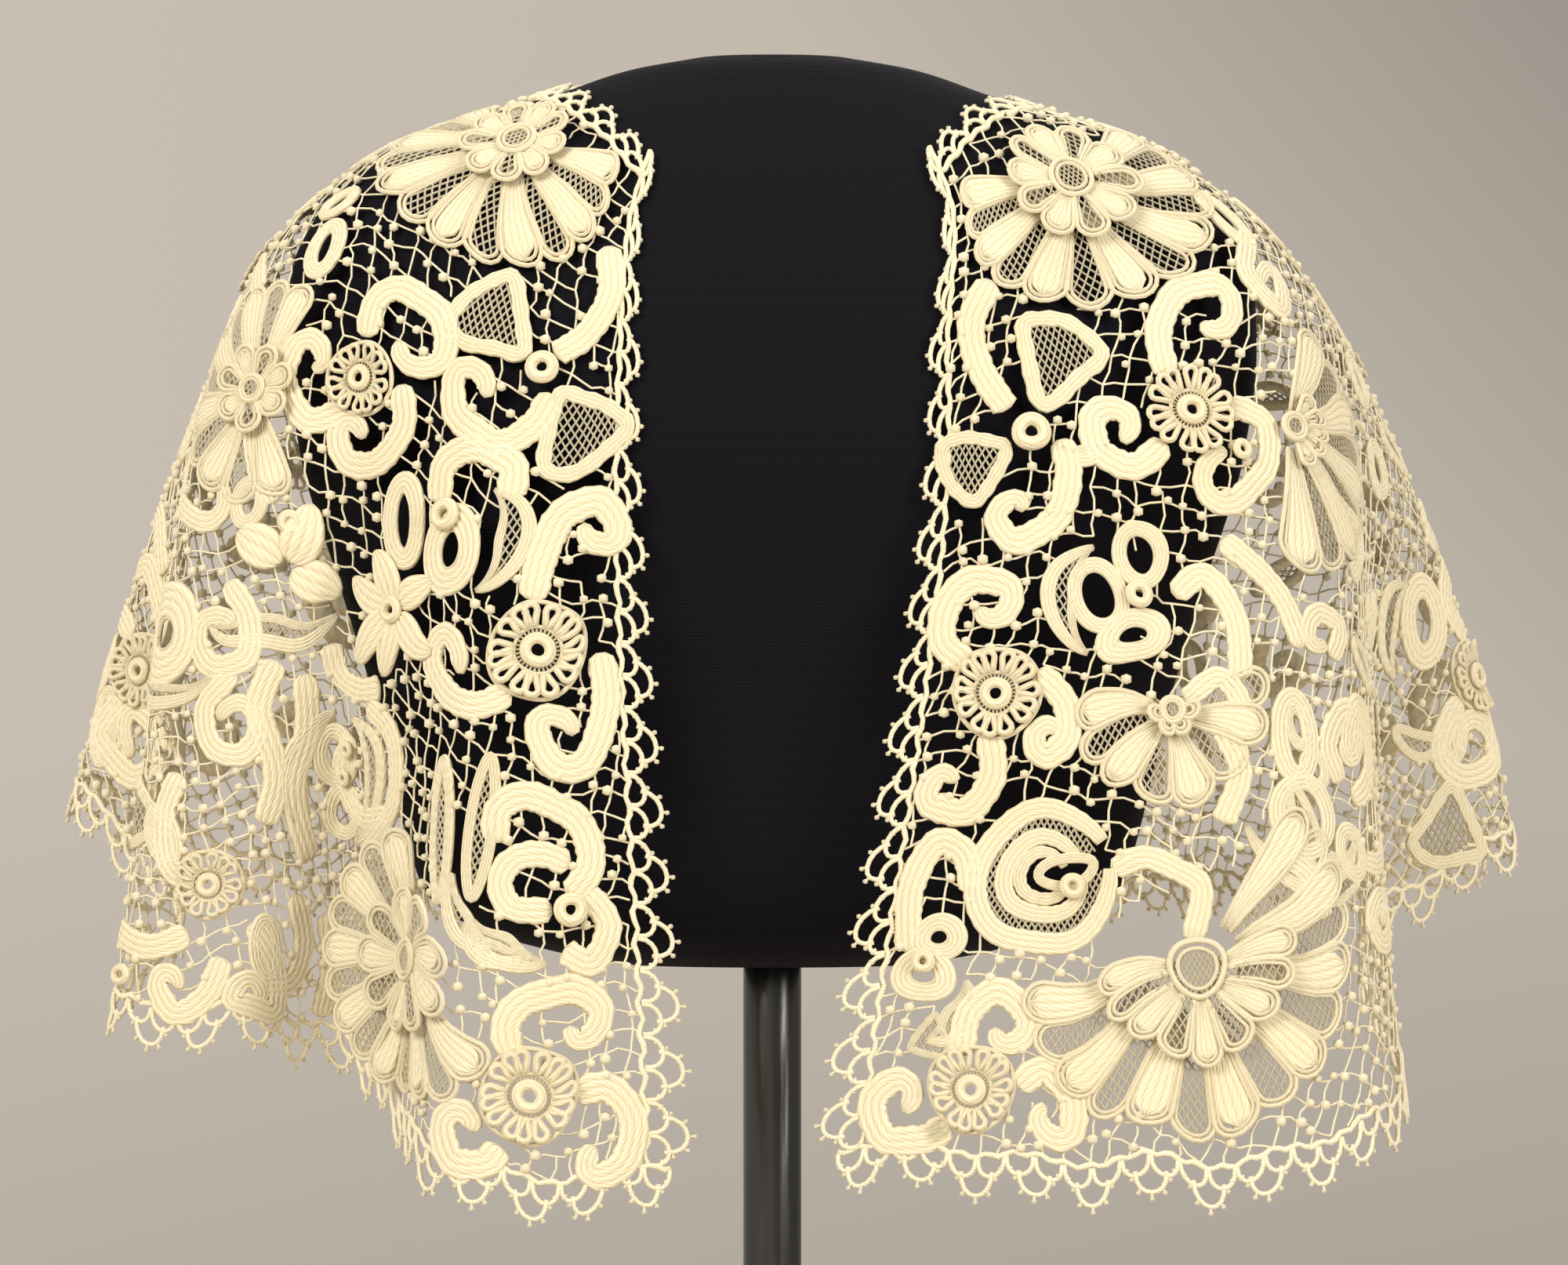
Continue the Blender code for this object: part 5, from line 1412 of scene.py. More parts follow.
@dataclass
class GroundNet:
    """The ground: threads and knots wherever no motif lies."""

    drape: Drape
    coverage: Coverage
    pitch: float = 7.7
    jitter: float = 1.5
    thread: float = 0.45
    knot: float = 2.0
    dropped: float = 0.06
    seed: int = 11
    kept_cells: dict[str, int] = field(default_factory=dict)

    def lattice(self) -> tuple[np.ndarray, np.ndarray]:
        """The net's nodes in the flat pattern, jittered, and which lie on the cloth."""
        random = np.random.default_rng(self.seed)
        reach = int((NECK_RADIUS + PATTERN_DEPTH) / self.pitch) + 2
        i, j = np.meshgrid(np.arange(-reach, reach + 1), np.arange(-reach, reach + 1), indexing="ij")
        nodes = np.stack([i, j], axis=-1) * self.pitch
        turn = math.radians(8.0)
        nodes = nodes @ np.array([[math.cos(turn), math.sin(turn)], [-math.sin(turn), math.cos(turn)]])
        wave = np.stack([np.sin(nodes[..., 1] / 23.0), np.sin(nodes[..., 0] / 19.0 + 1.0)], axis=-1)
        nodes = nodes + wave * 3.2 + random.uniform(-self.jitter, self.jitter, nodes.shape)
        u, v = from_flat(nodes)
        on_cloth = (u > 0.002) & (u < 0.998) & (v > 0.006) & (v < 0.994)
        return nodes, on_cloth

    def threads(self) -> tuple[np.ndarray, np.ndarray, np.ndarray]:
        """Starts and ends of the threads, and the nodes that keep a knot."""
        nodes, on_cloth = self.lattice()
        random = np.random.default_rng(self.seed + 1)
        covered = self.coverage.covers(nodes)
        starts, ends = [], []
        for di, dj in ((1, 0), (0, 1)):
            a = nodes[: nodes.shape[0] - di, : nodes.shape[1] - dj]
            b = nodes[di:, dj:]
            on = on_cloth[: nodes.shape[0] - di, : nodes.shape[1] - dj] | on_cloth[di:, dj:]
            under = covered[: nodes.shape[0] - di, : nodes.shape[1] - dj] & covered[di:, dj:]
            keep = on & ~under & (random.random(on.shape) > self.dropped)
            starts.append(a[keep])
            ends.append(b[keep])
        knots = nodes[on_cloth & ~covered & (random.random(covered.shape) < 0.86)]
        return np.concatenate(starts), np.concatenate(ends), knots

    def build(self, name: str, material: bpy.types.Material, side: float) -> tuple[bpy.types.Object, int]:
        """Makes one half of the net.

        Args:
            name: the piece's name.
            material: its finish.
            side: -1 for the viewer's left half, 1 for the right.

        Returns:
            The piece and how many knots it has.
        """
        random = np.random.default_rng(self.seed + 2)
        start, end, knots = self.threads()
        half = (start[:, 0] + end[:, 0]) * side > 0
        start, end = start[half], end[half]
        share = np.linspace(0.0, 1.0, 3)[None, :, None]
        line = start[:, None] * (1 - share) + end[:, None] * share
        way = unit(end - start)[:, None]
        sideways = np.stack([-way[..., 1], way[..., 0]], axis=-1)
        bend = random.uniform(-1.1, 1.1, (len(start), 1, 1))
        line = line + sideways * bend * np.sin(np.pi * share)
        u, v = from_flat(line)
        u, v = np.clip(u, 0.0, 1.0), np.clip(v, 0.0, 1.0)
        piece = Crochet(name)
        points, normals = self.drape.surface(u, v)
        piece.sweep(points, normals, round_section(self.thread, 4), capped=False)
        knots = knots[knots[:, 0] * side > 0]
        moved = knots + random.uniform(-1.7, 1.7, knots.shape)
        points, normals = self.drape.surface(*from_flat(moved))
        radii = self.knot * random.uniform(0.85, 1.15, len(points))
        piece.balls(points + normals * 0.5, radii)
        nodes = [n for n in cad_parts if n.startswith("ground") and n.endswith("left" if side < 0 else "right")]
        return piece.build(material, *nodes, slot="cotton_net"), len(knots)


class Value:
    """A shader socket that takes part in arithmetic."""

    def __init__(self, tree: "Nodes", socket: bpy.types.NodeSocket) -> None:
        """Wraps a socket of a node tree."""
        self.tree, self.socket = tree, socket

    def math(self, operation: str, *others: object) -> "Value":
        """A Math node on this value and others."""
        return self.tree.node("ShaderNodeMath", {"operation": operation}, [self, *others]).out()

    def __add__(self, other: object) -> "Value":
        """Sum."""
        return self.math("ADD", other)

    __radd__ = __add__

    def __mul__(self, other: object) -> "Value":
        """Product."""
        return self.math("MULTIPLY", other)

    __rmul__ = __mul__

    def __sub__(self, other: object) -> "Value":
        """Difference."""
        return self.math("SUBTRACT", other)

    def __rsub__(self, other: float) -> "Value":
        """Difference from a number."""
        return (self * -1.0) + other

    def clipped(self) -> "Value":
        """The value kept between 0 and 1."""
        return self.math("MAXIMUM", 0.0).math("MINIMUM", 1.0)


@dataclass
class Placed:
    """A node that has been added, and the tree it is in."""

    tree: "Nodes"
    made: bpy.types.Node

    def out(self, name: object = 0) -> Value:
        """One of its outputs."""
        return Value(self.tree, self.made.outputs[name])


class Nodes:
    """The node tree of one material, or of the world."""

    def __init__(self, name: str) -> None:
        """Starts a material with its Principled shader."""
        self.material = bpy.data.materials.new(name)
        self.material.use_nodes = True
        self.tree = self.material.node_tree
        self.shader = self.tree.nodes["Principled BSDF"]

    @classmethod
    def of_tree(cls, tree: bpy.types.NodeTree) -> "Nodes":
        """Works on a tree that exists."""
        nodes = cls.__new__(cls)
        nodes.tree = tree
        return nodes

    def node(self, kind: str, settings: dict[str, object], inputs: object) -> Placed:
        """Adds a node.

        Args:
            kind: the node's type.
            settings: its properties, set first. "stops" gives a ramp's places and colours.
            inputs: values or links of its sockets, by order or by name.

        Returns:
            The node.
        """
        made = self.tree.nodes.new(kind)
        for key, value in settings.items():
            if key == "stops":
                ramp = made.color_ramp
                for element, (place, colour) in zip(ramp.elements, value):
                    element.position, element.color = place, (*colour, 1.0)
            else:
                setattr(made, key, value)
        pairs = inputs.items() if isinstance(inputs, dict) else enumerate(inputs)
        for key, value in pairs:
            self.set(made.inputs[key], value)
        return Placed(self, made)

    def set(self, socket: bpy.types.NodeSocket, value: object) -> None:
        """Links a value to a socket, or sets a constant on it."""
        if isinstance(value, Value):
            self.tree.links.new(value.socket, socket)
        else:
            socket.default_value = value

    def blend(self, share: Value, first: object, second: object) -> Value:
        """A colour between two others."""
        first = (*first, 1.0) if isinstance(first, tuple) else first
        second = (*second, 1.0) if isinstance(second, tuple) else second
        mixed = self.node("ShaderNodeMix", {"data_type": "RGBA"}, {0: share, 6: first, 7: second})
        return mixed.out(2)

    def noise(self, vector: Value, scale: float, detail: float = 2.0) -> Value:
        """Noise on a vector."""
        return self.node("ShaderNodeTexNoise", {}, {"Vector": vector, "Scale": scale, "Detail": detail}).out(0)

    def object_place(self) -> Value:
        """The Object coordinates."""
        return self.node("ShaderNodeTexCoord", {}, ()).out("Object")

    def bump(self, height: Value, distance: float, strength: float = 1.0) -> Value:
        """A bump from a height in units of distance."""
        inputs = {"Strength": strength, "Distance": distance, "Height": height}
        return self.node("ShaderNodeBump", {}, inputs).out()


@dataclass(frozen=True)
class Cotton:
    """Cream crochet cotton: stitches wound over a cord, with patches of age and painted shade in the grooves between
    stitches and between ribs.
    """

    name: str
    lit: tuple[float, float, float] = (0.90, 0.825, 0.60)
    aged: tuple[float, float, float] = (0.84, 0.73, 0.47)
    # groove is painted shade: the colour the cotton falls to in the grooves between stitches and between ribs
    groove: tuple[float, float, float] = (0.62, 0.48, 0.25)
    stitches_per_cm: float = 2.2
    slant: float = 10.0
    # the next field sets how strong the painted shade is between stitches; ribs sets it between ribs
    painted_groove_shade: float = 0.6
    ribs: float = 0.5
    rib_shade_turns: float = math.pi * 16 / 3
    depth: float = 0.0002
    stains: tuple[tuple[float, float, float, float], ...] = ()

    def build(self) -> bpy.types.Material:
        """Makes the material."""
        nodes = Nodes(self.name)
        place = nodes.object_place()
        chart = nodes.node("ShaderNodeUVMap", {"uv_map": "stitches"}, ()).out()
        parts = nodes.node("ShaderNodeSeparateXYZ", {}, [chart])
        along, round_it = parts.out(0), parts.out(1)
        wobble = nodes.noise(place, 300.0) * 0.9
        turns = (along * self.stitches_per_cm + round_it * self.slant + wobble) * (2 * math.pi)
        stitch = turns.math("SINE") * 0.5 + 0.5
        fibre = nodes.noise(place, 2600.0, 3.0)
        patches = nodes.noise(place, 26.0, 3.0)
        age = ((patches - 0.45) * 2.6).clipped()
        colour = nodes.blend(age * 0.6, self.lit, self.aged)
        # painted shade between the ribs and in the stitches' valleys, blended towards the groove colour
        painted_rib_shade = (round_it * self.rib_shade_turns).math("COSINE").math("POWER", 6.0) * (fibre * 0.7 + 0.5)
        painted_groove_shade = (1.0 - stitch) * (fibre * 0.6 + 0.2) * self.painted_groove_shade + painted_rib_shade * self.ribs
        colour = nodes.blend(painted_groove_shade.clipped(), colour, self.groove)
        for x, y, z, radius in self.stains:
            away = nodes.node("ShaderNodeVectorMath", {"operation": "DISTANCE"}, [place, (x, y, z)]).out(1)
            spread = (nodes.noise(place, 300.0) * radius + radius * 0.4 - away) * (2.2 / radius)
            colour = nodes.blend(spread.clipped() * 0.55, colour, (0.33, 0.30, 0.16))
        nodes.set(nodes.shader.inputs["Base Color"], colour)
        nodes.shader.inputs["Roughness"].default_value = 0.85
        nodes.shader.inputs["Specular IOR Level"].default_value = 0.25
        nodes.shader.inputs["Sheen Weight"].default_value = 0.08
        height = stitch * 0.7 + fibre * 0.5
        nodes.set(nodes.shader.inputs["Normal"], nodes.bump(height, self.depth))
        return nodes.material


@dataclass(frozen=True)
class Jersey:
    """Black jersey with a faint crosswise knit."""

    name: str = "black_jersey"
    colour: tuple[float, float, float] = (0.0052, 0.0048, 0.0072)
    worn: tuple[float, float, float] = (0.0085, 0.0085, 0.0115)

    def build(self) -> bpy.types.Material:
        """Makes the material."""
        nodes = Nodes(self.name)
        place = nodes.object_place()
        parts = nodes.node("ShaderNodeSeparateXYZ", {}, [place])
        wobble = nodes.noise(place, 60.0) * 2.0
        rows = ((parts.out(2) * 5200.0 + wobble).math("SINE")) * 0.5 + 0.5
        lint = nodes.noise(place, 900.0, 3.0)
        nodes.set(nodes.shader.inputs["Base Color"], nodes.blend(rows * lint, self.colour, self.worn))
        nodes.shader.inputs["Roughness"].default_value = 0.95
        nodes.shader.inputs["Specular IOR Level"].default_value = 0.12
        nodes.set(nodes.shader.inputs["Normal"], nodes.bump(rows * 0.6 + lint * 0.4, 0.0003))
        return nodes.material


@dataclass(frozen=True)
class Steel:
    """Dark polished steel with fine scratches."""

    name: str
    colour: tuple[float, float, float]
    rough: float

    def build(self) -> bpy.types.Material:
        """Makes the material."""
        nodes = Nodes(self.name)
        place = nodes.object_place()
        stretched = nodes.node(
            "ShaderNodeMapping", {}, {"Vector": place, "Scale": (60.0, 60.0, 3.0)}
        ).out()
        streaks = nodes.noise(stretched, 8.0, 4.0)
        smudge = nodes.noise(place, 30.0, 3.0)
        light = tuple(min(c * 1.35, 1.0) for c in self.colour)
        nodes.set(nodes.shader.inputs["Base Color"], nodes.blend(streaks, self.colour, light))
        rough = streaks * 0.1 + smudge * 0.12 + (self.rough - 0.09)
        nodes.set(nodes.shader.inputs["Roughness"], rough)
        nodes.shader.inputs["Metallic"].default_value = 1.0
        nodes.set(nodes.shader.inputs["Normal"], nodes.bump(streaks, 0.00004))
        return nodes.material


@dataclass(frozen=True)
class Paper:
    """The studio's pale matte sweep."""

    name: str = "studio_paper"
    colour: tuple[float, float, float] = (0.585, 0.532, 0.462)

    def build(self) -> bpy.types.Material:
        """Makes the material."""
        nodes = Nodes(self.name)
        grain = nodes.noise(nodes.object_place(), 120.0, 3.0)
        darker = tuple(c * 0.95 for c in self.colour)
        nodes.set(nodes.shader.inputs["Base Color"], nodes.blend(grain, self.colour, darker))
        nodes.shader.inputs["Roughness"].default_value = 0.95
        return nodes.material


@dataclass
class DressForm:
    """The torso, the pole and the foot."""

    segments: int = 128
    rings: int = 150
    pole_radius: float = 11.5
    base_radius: float = 140.0
    base_height: float = 12.0
    collar_height: float = 14.0

    def build(self) -> list[bpy.types.Object]:
        """Builds the three pieces and dresses them."""
        return [self.torso(), self.pole(), self.foot()]

    @staticmethod
    def finish(name: str, node: str, slot: str, material: bpy.types.Material) -> bpy.types.Object:
        """Applies the active object's place, dresses it and lets it stand for its node.

        Args:
            name: the piece's name.
            node: the CAD node.
            slot: not used.
            material: its finish.

        Returns:
            The piece.
        """
        bpy.ops.object.transform_apply(location=True, rotation=True, scale=True)
        piece = bpy.context.object
        piece.name = name
        piece.data.materials.clear()
        piece.data.materials.append(material)
        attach(piece, ROOT)
        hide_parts(node)
        LOG.info("%s: %d faces", name, len(piece.data.polygons))
        return piece

    def torso(self) -> bpy.types.Object:
        """A sphere's rings moved out to the form's sections."""
        bpy.ops.object.select_all(action="DESELECT")
        bpy.ops.mesh.primitive_uv_sphere_add(segments=self.segments, ring_count=self.rings + 1, radius=1.0)
        body = bpy.context.object
        mesh = body.data
        co = np.zeros(len(mesh.vertices) * 3)
        mesh.vertices.foreach_get("co", co)
        co = co.reshape(-1, 3)
        ring = np.arccos(np.clip(co[:, 2], -1, 1)) / math.pi * (self.rings + 1) - 1
        share = np.clip(ring / (self.rings - 1), 0, 1)
        table = np.array(FORM_SECTIONS)
        run = np.concatenate([[0.0], np.cumsum(np.hypot(np.diff(table[:, 0]), np.diff(table[:, 1])))])
        height = np.interp(share * run[-1], run, table[:, 0])
        heading = np.arctan2(-co[:, 0], -co[:, 1])
        points = FormShape.at(heading, height)
        poles = (ring < -0.5) | (ring > self.rings - 0.5)
        points[poles, 0] = points[poles, 1] = 0.0
        mesh.vertices.foreach_set("co", (points * MM).reshape(-1))
        mesh.update()
        mesh.shade_smooth()
        return self.finish("dress_form_torso", "form_torso", "form_jersey", Jersey().build())

    def pole(self) -> bpy.types.Object:
        """A polished tube with bevelled rims, from the foot up to the form."""
        low, high = self.base_height + 0.3, FORM_SECTIONS[-1][0] - 0.3
        bpy.ops.object.select_all(action="DESELECT")
        bpy.ops.mesh.primitive_cylinder_add(
            vertices=64,
            radius=self.pole_radius * MM,
            depth=(high - low) * MM,
            location=(0.0, 0.0, (low + high) / 2 * MM),
        )
        pole = bpy.context.object
        for polygon in pole.data.polygons:
            polygon.use_smooth = abs(polygon.normal.z) < 0.5
        rim = pole.modifiers.new("rim", "BEVEL")
        rim.width, rim.segments, rim.limit_method = 0.6 * MM, 2, "ANGLE"
        bpy.ops.object.modifier_apply(modifier=rim.name)
        return self.finish("stand_pole_polished", "stand_pole", "pole_steel", Steel("pole_steel", (0.085, 0.088, 0.09), 0.2).build())

    def foot(self) -> bpy.types.Object:
        """A heavy round plate with a rounded rim and a turned step under the pole."""
        bpy.ops.object.select_all(action="DESELECT")
        bpy.ops.mesh.primitive_cylinder_add(
            vertices=96,
            radius=self.base_radius * MM,
            depth=self.base_height * MM,
            location=(0.0, 0.0, self.base_height / 2 * MM),
        )
        bpy.ops.object.mode_set(mode="EDIT")
        bpy.ops.mesh.select_all(action="DESELECT")
        bpy.ops.object.mode_set(mode="OBJECT")
        plate = bpy.context.object
        for polygon in plate.data.polygons:
            polygon.select = polygon.normal.z > 0.9
        bpy.ops.object.mode_set(mode="EDIT")
        bpy.ops.mesh.inset(thickness=6.0 * MM)
        bpy.ops.transform.translate(value=(0.0, 0.0, -0.5 * MM))
        bpy.ops.mesh.inset(thickness=4.0 * MM)
        bpy.ops.object.mode_set(mode="OBJECT")
        rim = plate.modifiers.new("rim", "BEVEL")
        rim.width, rim.segments, rim.limit_method = 2.4 * MM, 4, "ANGLE"
        bpy.ops.object.modifier_apply(modifier=rim.name)
        bpy.ops.object.shade_smooth_by_angle(angle=math.radians(30))
        return self.finish("stand_foot_plate", "stand_foot", "foot_steel", Steel("foot_steel", (0.16, 0.16, 0.17), 0.36).build())


@dataclass
class Studio:
    """Floor, backdrop and lights."""

    floor_radius: float = 1.2
    backdrop: tuple[float, float, float] = (0.578, 0.515, 0.443)
    half_view: float = 0.155

    def build(self) -> None:
        """Builds the floor, the backdrop and the lights."""
        self.floor()
        # the backdrop's colour with its painted shade
        self.paint_backdrop_shade()
        self.light("key_light", (-1.5, -1.9, 1.7), (62.0, 0.0, -38.0), 1.2, 53.0, (1.0, 0.98, 0.94))
        self.light("fill_light", (2.0, -1.7, 1.1), (76.0, 0.0, 49.0), 1.3, 46.0, (1.0, 0.98, 0.95))
        self.light("top_light", (0.2, 0.2, 2.4), (0.0, 0.0, 0.0), 1.2, 15.0, (1.0, 0.98, 0.95))
        self.light("back_light", (0.4, 2.2, 1.4), (66.0, 0.0, 170.0), 1.6, 22.0, (1.0, 0.98, 0.95))
        bpy.context.scene.view_settings.view_transform = "Standard"

    def floor(self) -> bpy.types.Object:
        """A round pale floor under the stand."""
        bpy.ops.object.select_all(action="DESELECT")
        bpy.ops.mesh.primitive_circle_add(vertices=96, radius=self.floor_radius, fill_type="NGON")
        disc = bpy.context.object
        disc.name = "studio_floor"
        disc.data.materials.append(Paper().build())
        return disc

    def paint_backdrop_shade(self) -> None:
        """The backdrop's colour with painted shade: it darkens to the right, low down and in the upper right, where
        the light falls off.
        """
        world = bpy.context.scene.world or bpy.data.worlds.new("studio_world")
        bpy.context.scene.world = world
        world.use_nodes = True
        nodes = Nodes.of_tree(world.node_tree)
        parts = nodes.node("ShaderNodeSeparateXYZ", {}, [nodes.node("ShaderNodeTexCoord", {}, ()).out("Generated")])
        right, up = parts.out(0), parts.out(2)
        # painted shade on the backdrop, where the light falls off: darker to the right, in the upper right corner and
        # low down
        corner = ((right + up - 0.12) * 6.0).clipped()
        low = (up * -7.0 - 0.15).clipped()
        share = ((right + self.half_view) * (0.5 / self.half_view)).clipped() * 0.12 + corner * 0.34 + low * 0.24
        darker = tuple(c * 0.05 for c in self.backdrop)
        sky = world.node_tree.nodes.get("Background")
        nodes.set(sky.inputs[0], nodes.blend(share, self.backdrop, darker))
        sky.inputs[1].default_value = 1.0

    @staticmethod
    def light(
        name: str,
        place: tuple[float, float, float],
        degrees: tuple[float, float, float],
        size: float,
        power: float,
        colour: tuple[float, float, float],
    ) -> None:
        """Adds a square area light.

        Args:
            name: its name.
            place: where it stands, in metres.
            degrees: how it is turned.
            size: its side.
            power: in watts.
            colour: of its light.
        """
        lamp = bpy.data.lights.new(name, "AREA")
        lamp.size, lamp.energy, lamp.color = size, power, colour
        stand = bpy.data.objects.new(name, lamp)
        stand.location = place
        stand.rotation_euler = [math.radians(angle) for angle in degrees]
        bpy.context.scene.collection.objects.link(stand)


class Collar:
    """The whole lace collar."""

    stain_pixels = ((1191, 1440, 0.0065), (540, 1360, 0.003), (1100, 1400, 0.002))
    mm_per_pixel = 0.31
    most_stretch = 1.9

    def __init__(self, view: PhotoView) -> None:
        """Drapes the cloth and starts with nothing covered."""
        self.drape = Drape(view)
        self.coverage = Coverage()
        self.stains = tuple(self.stain(x, y, radius) for x, y, radius in self.stain_pixels)

    def stain(self, x: float, y: float, radius: float) -> tuple[float, float, float, float]:
        """A stain's place in metres and its radius."""
        point, _ = self.drape.surface(*self.drape.locate((x, y)))
        return (*(float(c) * MM for c in point), radius)

    def spot(self, pixel: Sequence[float], turn: float = 0.0) -> Spot:
        """A spot at a pixel of the photograph."""
        return Spot(self.drape, *self.drape.locate(pixel), turn)

    def back_spot(self, depth: float, degrees: float, turn: float = 0.0) -> Spot:
        """A spot of the back, by depth below the neck and degrees from its middle."""
        return Spot(self.drape, 0.5 + math.radians(degrees) / PATTERN_SPREAD, depth / PATTERN_DEPTH, turn)

    def flat_at(self, pixels: Iterable[Sequence[float]]) -> np.ndarray:
        """Points of the flat pattern at pixels of the photograph."""
        return np.array([to_flat(*self.drape.locate(pixel)) for pixel in pixels])

    def guide(self, pixels: Sequence[Sequence[float]]) -> np.ndarray:
        """Points of the flat pattern for a band, kept at its real size where its pixels straddle a fold.

        Args:
            pixels: the band's points in the photograph.

        Returns:
            Points of the flat pattern.
        """
        flat = self.flat_at(pixels)
        seen = np.array(pixels, float) * [1.0, -1.0] * self.mm_per_pixel
        steps = np.linalg.norm(np.diff(flat, axis=0), axis=1)
        if np.all(steps < self.most_stretch * np.linalg.norm(np.diff(seen, axis=0), axis=1) + 4.0):
            return flat
        return self.spot(pixels[0]).flat(seen - seen[0])

    def build(self) -> list[bpy.types.Object]:
        """Works every piece of the collar.

        Returns:
            The pieces.
        """
        motif = Cotton("cream_cotton_motif", stains=self.stains).build()
        # the net and the edging carry weaker painted shade between stitches and none between ribs
        net = Cotton("cream_cotton_net", stitches_per_cm=9.0, slant=1.0, painted_groove_shade=0.4, ribs=0.0, stains=self.stains[1:2])
        net = net.build()
        edge = Cotton("cream_cotton_edging", stitches_per_cm=8.0, slant=2.0, painted_groove_shade=0.4, ribs=0.0).build()
        pieces = [
            self.flowers("flowers_left", motif, ("flower_shoulder_left", "flower_side_left", "flower_ridge_left")),
            self.flowers("flowers_right", motif, ("flower_shoulder_right", "flower_side_right", "flower_hem_right")),
            self.flowers("flower_and_shell", motif, ("flower_small_right", "flower_shell_right")),
            self.flowers("flowers_back", motif, ("flower_back_middle", "flower_back_left", "flower_back_right")),
            self.roses(motif),
            self.scrolls(motif),
            self.openwork(motif),
            self.back(motif),
            self.fillers(motif),
            self.edging(edge),
        ]
        self.ground(net, pieces)
        return pieces

    def flowers(self, name: str, material: bpy.types.Material, nodes: Sequence[str]) -> bpy.types.Object:
        """The large flowers that stand for these nodes, in one piece."""
        piece = Crochet(name)
        hand = Worker(piece, self.coverage)
        for spec in FLOWERS:
            if spec.node in nodes:
                Flower(spec).work(hand, self.drape)
        for node, pixel, radius, gap_at, gap in SHELLS:
            if node in nodes:
                Shell(radius, gap_at, gap).work(hand, self.spot(pixel))
        both = [*nodes, *(f"{node}_upper" for node in nodes)]
        return piece.build(material, *both)

    def roses(self, material: bpy.types.Material) -> bpy.types.Object:
        """The roses that the photograph shows."""
        piece = Crochet("roses")
        hand = Worker(piece, self.coverage)
        nodes = []
        for node, pixel, radius, ringed in ROSES:
            Rose(radius, ringed).work(hand, self.spot(pixel))
            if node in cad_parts:
                nodes.append(node)
        return piece.build(material, *nodes)

    def scrolls(self, material: bpy.types.Material) -> bpy.types.Object:
        """The padded scrolls and whirls."""
        piece = Crochet("scrolls")
        hand = Worker(piece, self.coverage)
        for half_width, pixels, curl in SCROLLS:
            guide = self.guide([*pixels, curl] if curl else pixels)
            centre = guide[-1] if curl else None
            Scroll(half_width, guide[:-1] if curl else guide, centre).work(hand, self.drape)
        for pixel, length, petals, start, sweep, lift in WHIRLS:
            Whirl(length, petals, start, sweep, lift).work(hand, self.spot(pixel))
        return piece.build(material, "flower_lobes_left", "flower_lobes_left_upper")

    def openwork(self, material: bpy.types.Material) -> bpy.types.Object:
        """Loops, leaves, crescents, fans and ring knots."""
        piece = Crochet("pods_and_fans")
        hand = Worker(piece, self.coverage)
        for pixel, wide, high, turn, hole_wide, hole_high in LOOPS:
            Loop(wide, high, hole_wide, hole_high).work(hand, self.spot(pixel, turn))
        for pixel, wide, high, turn in LEAVES:
            Leaf(wide, high).work(hand, self.spot(pixel, turn))
        for pixel, radius, start, end, width in CRESCENTS:
            Crescent(radius, start, end, width).work(hand, self.spot(pixel))
        for apex, far, spread in FANS:
            spot = self.spot(apex)
            reach = self.flat_at([far])[0] - self.flat_at([apex])[0]
            basis = spot.flat(np.array([[1.0, 0.0], [0.0, 1.0]])) - spot.flat(np.zeros((1, 2)))
            local = np.linalg.solve(basis.T, reach)
            Fan(float(np.linalg.norm(local)), spread).work(hand, spot, math.degrees(math.atan2(local[1], local[0])))
        for pixel, radius in KNOTS:
            spot = self.spot(pixel)
            hand.ring(spot, radius * 0.62, radius * 0.36, 3.4, 24)
            hand.coverage.stamp(spot.flat(np.zeros((1, 2))), radius)
        nodes = [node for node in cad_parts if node.startswith("pod_")]
        return piece.build(material, *nodes)

    def back(self, material: bpy.types.Material) -> bpy.types.Object:
        """The back's roses, scrolls and loops, in the front's own kinds."""
        piece = Crochet("back_motifs")
        hand = Worker(piece, self.coverage)
        for k, (depth, degrees) in enumerate(BACK_ROSE_GROUPS):
            spot = self.back_spot(depth, degrees, 90.0 * (k % 4))
            Rose(15.0).work(hand, spot)
            for guide in BACK_SCROLLS[: 3 if depth > 100 else 2]:
                flat = spot.flat(np.array(guide))
                Scroll(5.4, flat[:-1], flat[-1]).work(hand, self.drape)
        for depth, degrees, wide, high in BACK_LOOPS:
            Loop(wide, high, wide * 0.36, high * 0.45).work(hand, self.back_spot(depth, degrees))
        return piece.build(material, "rose_back_left", "rose_back_right")

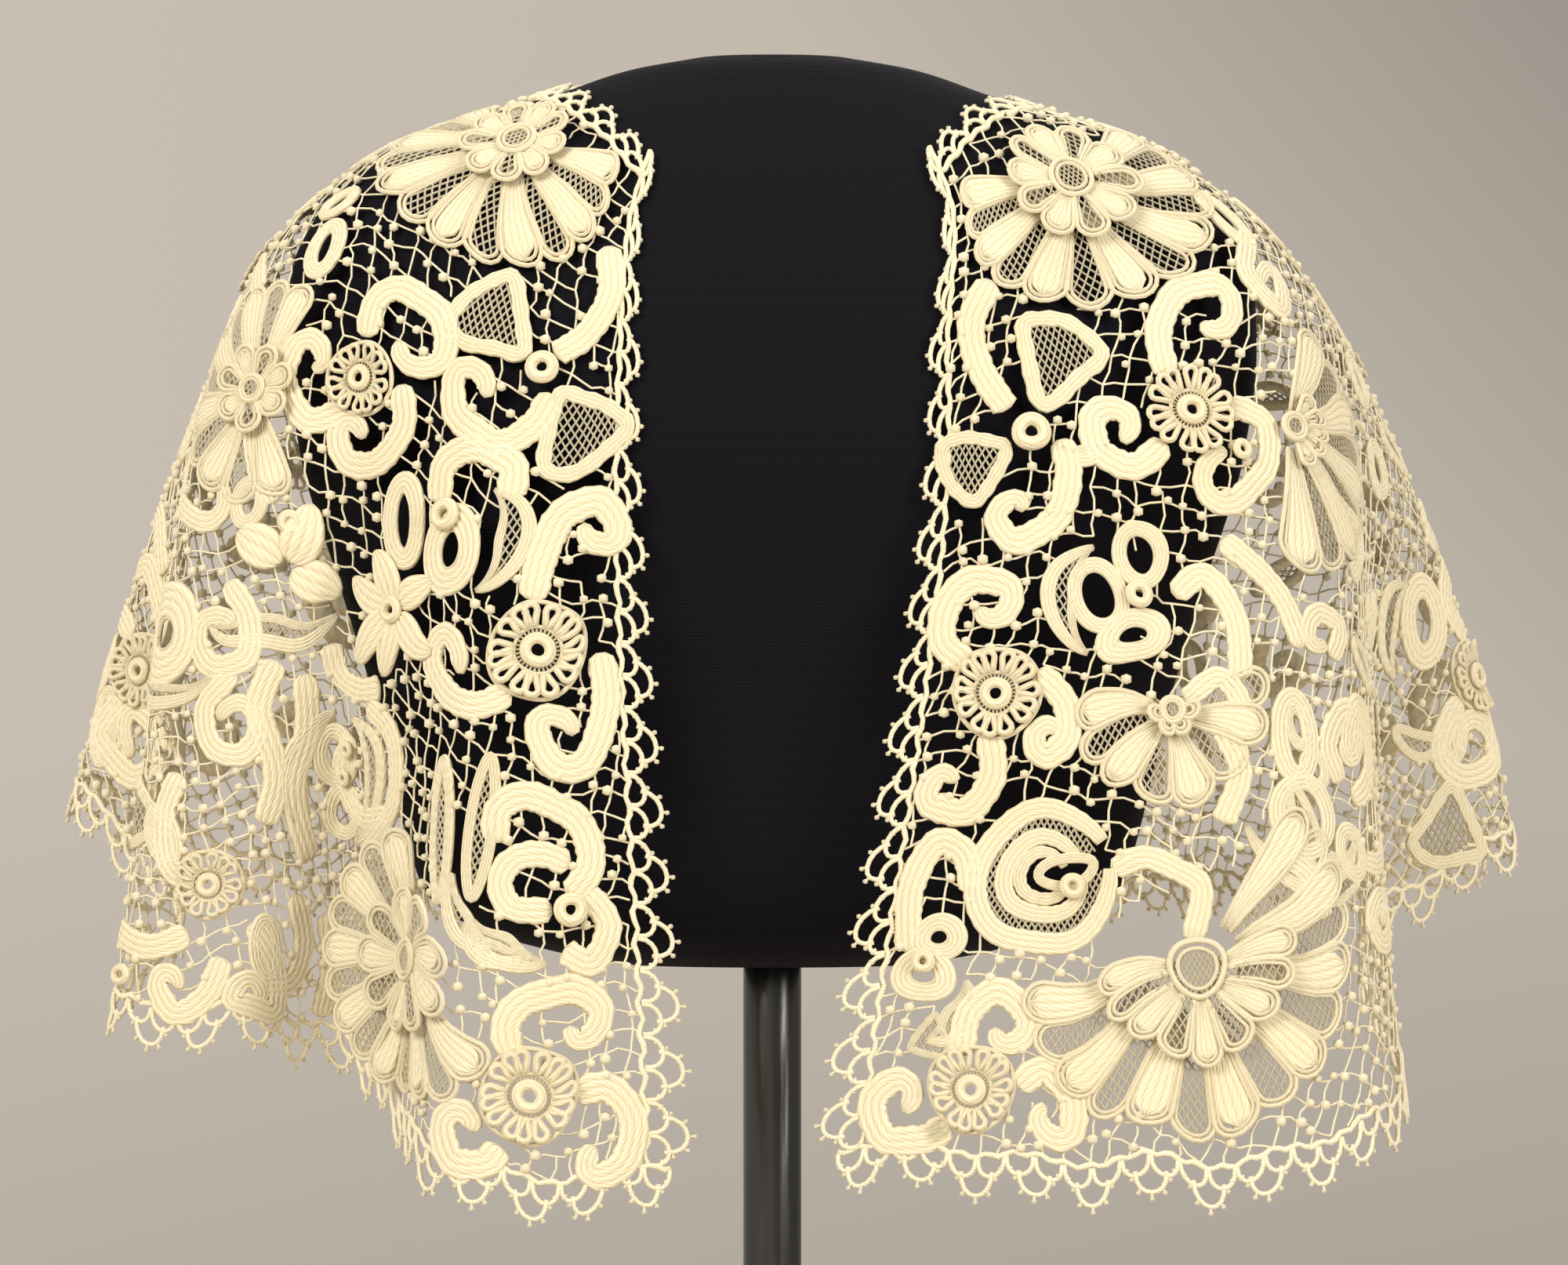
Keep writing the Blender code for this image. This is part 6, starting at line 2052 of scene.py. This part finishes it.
    def fillers(self, material: bpy.types.Material) -> bpy.types.Object:
        """Small roses, loops and leaves on the sides and back, where the net would be bare."""
        piece = Crochet("filler_motifs")
        hand = Worker(piece, self.coverage)
        around = np.linspace(0, 2 * math.pi, 24, endpoint=False)
        ray = np.stack([np.cos(around), np.sin(around)], axis=1)
        disc = np.concatenate([ray * radius for radius in (1.0, 5.0, 9.0, 12.5)])
        kind = 0
        for ring, depth in enumerate(np.arange(26.0, PATTERN_DEPTH - 18.0, 36.0)):
            step = 37.0 / ((NECK_RADIUS + depth) * PATTERN_SPREAD)
            for u in np.arange(0.13 + step * 0.5 * (ring % 2), 0.87, step):
                flat = to_flat(u, depth / PATTERN_DEPTH)
                if self.coverage.covers(flat + disc).mean() > 0.04:
                    continue
                spot = Spot(self.drape, float(u), float(depth / PATTERN_DEPTH), 37.0 * (kind % 7))
                if kind % 4 == 0:
                    Rose(11.5, ringed=kind % 8 == 0).work(hand, spot)
                elif kind % 4 == 1:
                    Loop(9.0, 12.5, 3.2, 6.0).work(hand, spot)
                elif kind % 4 == 2:
                    guide = spot.flat(np.array([[-12.0, -6.0], [-7.0, 7.0], [5.0, 10.0], [10.0, 2.0]]))
                    Scroll(4.8, guide, spot.flat(np.array([[3.5, 1.0]]))[0]).work(hand, self.drape)
                else:
                    Leaf(6.5, 14.0).work(hand, spot)
                kind += 1
        LOG.info("filler motifs: %d", kind)
        return piece.build(material)

    def edging(self, material: bpy.types.Material) -> bpy.types.Object:
        """Both fronts, the neck and the hem."""
        piece = Crochet("edging")
        work = Edging(piece, self.drape)
        per_v = 1.0 / PATTERN_DEPTH
        neck = -12.0 * per_v
        front_width = float(self.drape.widths.mean())
        for u, way in ((0.0, -1.0), (1.0, 1.0)):
            sideways = np.array([way / front_width, 0.0])
            work.scallops(np.array([u, neck]), np.array([u, 1.0]), sideways, 16, 13.0, 1.05)
        hem_width, neck_width = float(self.drape.widths[-1]), float(self.drape.widths[0])
        corner = 9.0 / hem_width
        start, end = np.array([-corner, 1.0]), np.array([1.0 + corner, 1.0])
        work.scallops(start, end, np.array([0.0, per_v]), round(hem_width / 21.5), 17.0, 1.1)
        start, end = np.array([0.0, 0.0]), np.array([1.0, 0.0])
        work.scallops(start, end, np.array([0.0, -per_v]), round(neck_width / 22.0), 12.0, 1.25)
        nodes = [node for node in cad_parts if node.startswith("edging_")]
        return piece.build(material, *nodes, slot="cotton_edging")

    def ground(self, material: bpy.types.Material, pieces: Sequence[bpy.types.Object]) -> None:
        """The net in two halves.

        Args:
            material: the net's finish.
            pieces: what is worked into the net.
        """
        net = GroundNet(self.drape, self.coverage)
        for name, side in (("net_left", -1.0), ("net_right", 1.0)):
            piece, knots = net.build(name, material, side)
            area = knots / 0.86 * (net.pitch * MM) ** 2
            pieces = [*pieces, piece]
            LOG.info("%s: net area %.4f m2", name, area)


def main() -> None:
    """Builds the form, the collar and the studio, and notes the sizes."""
    logging.basicConfig(level=logging.INFO, format="%(message)s")
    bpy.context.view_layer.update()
    view = PhotoView()
    view.build()
    for piece in DressForm().build():
        LOG.info("built %s", piece.name)
    for piece in Collar(view).build():
        LOG.info("built %s", piece.name)
    Studio().build()
    bpy.context.view_layer.update()


if __name__ == "__main__":
    main()
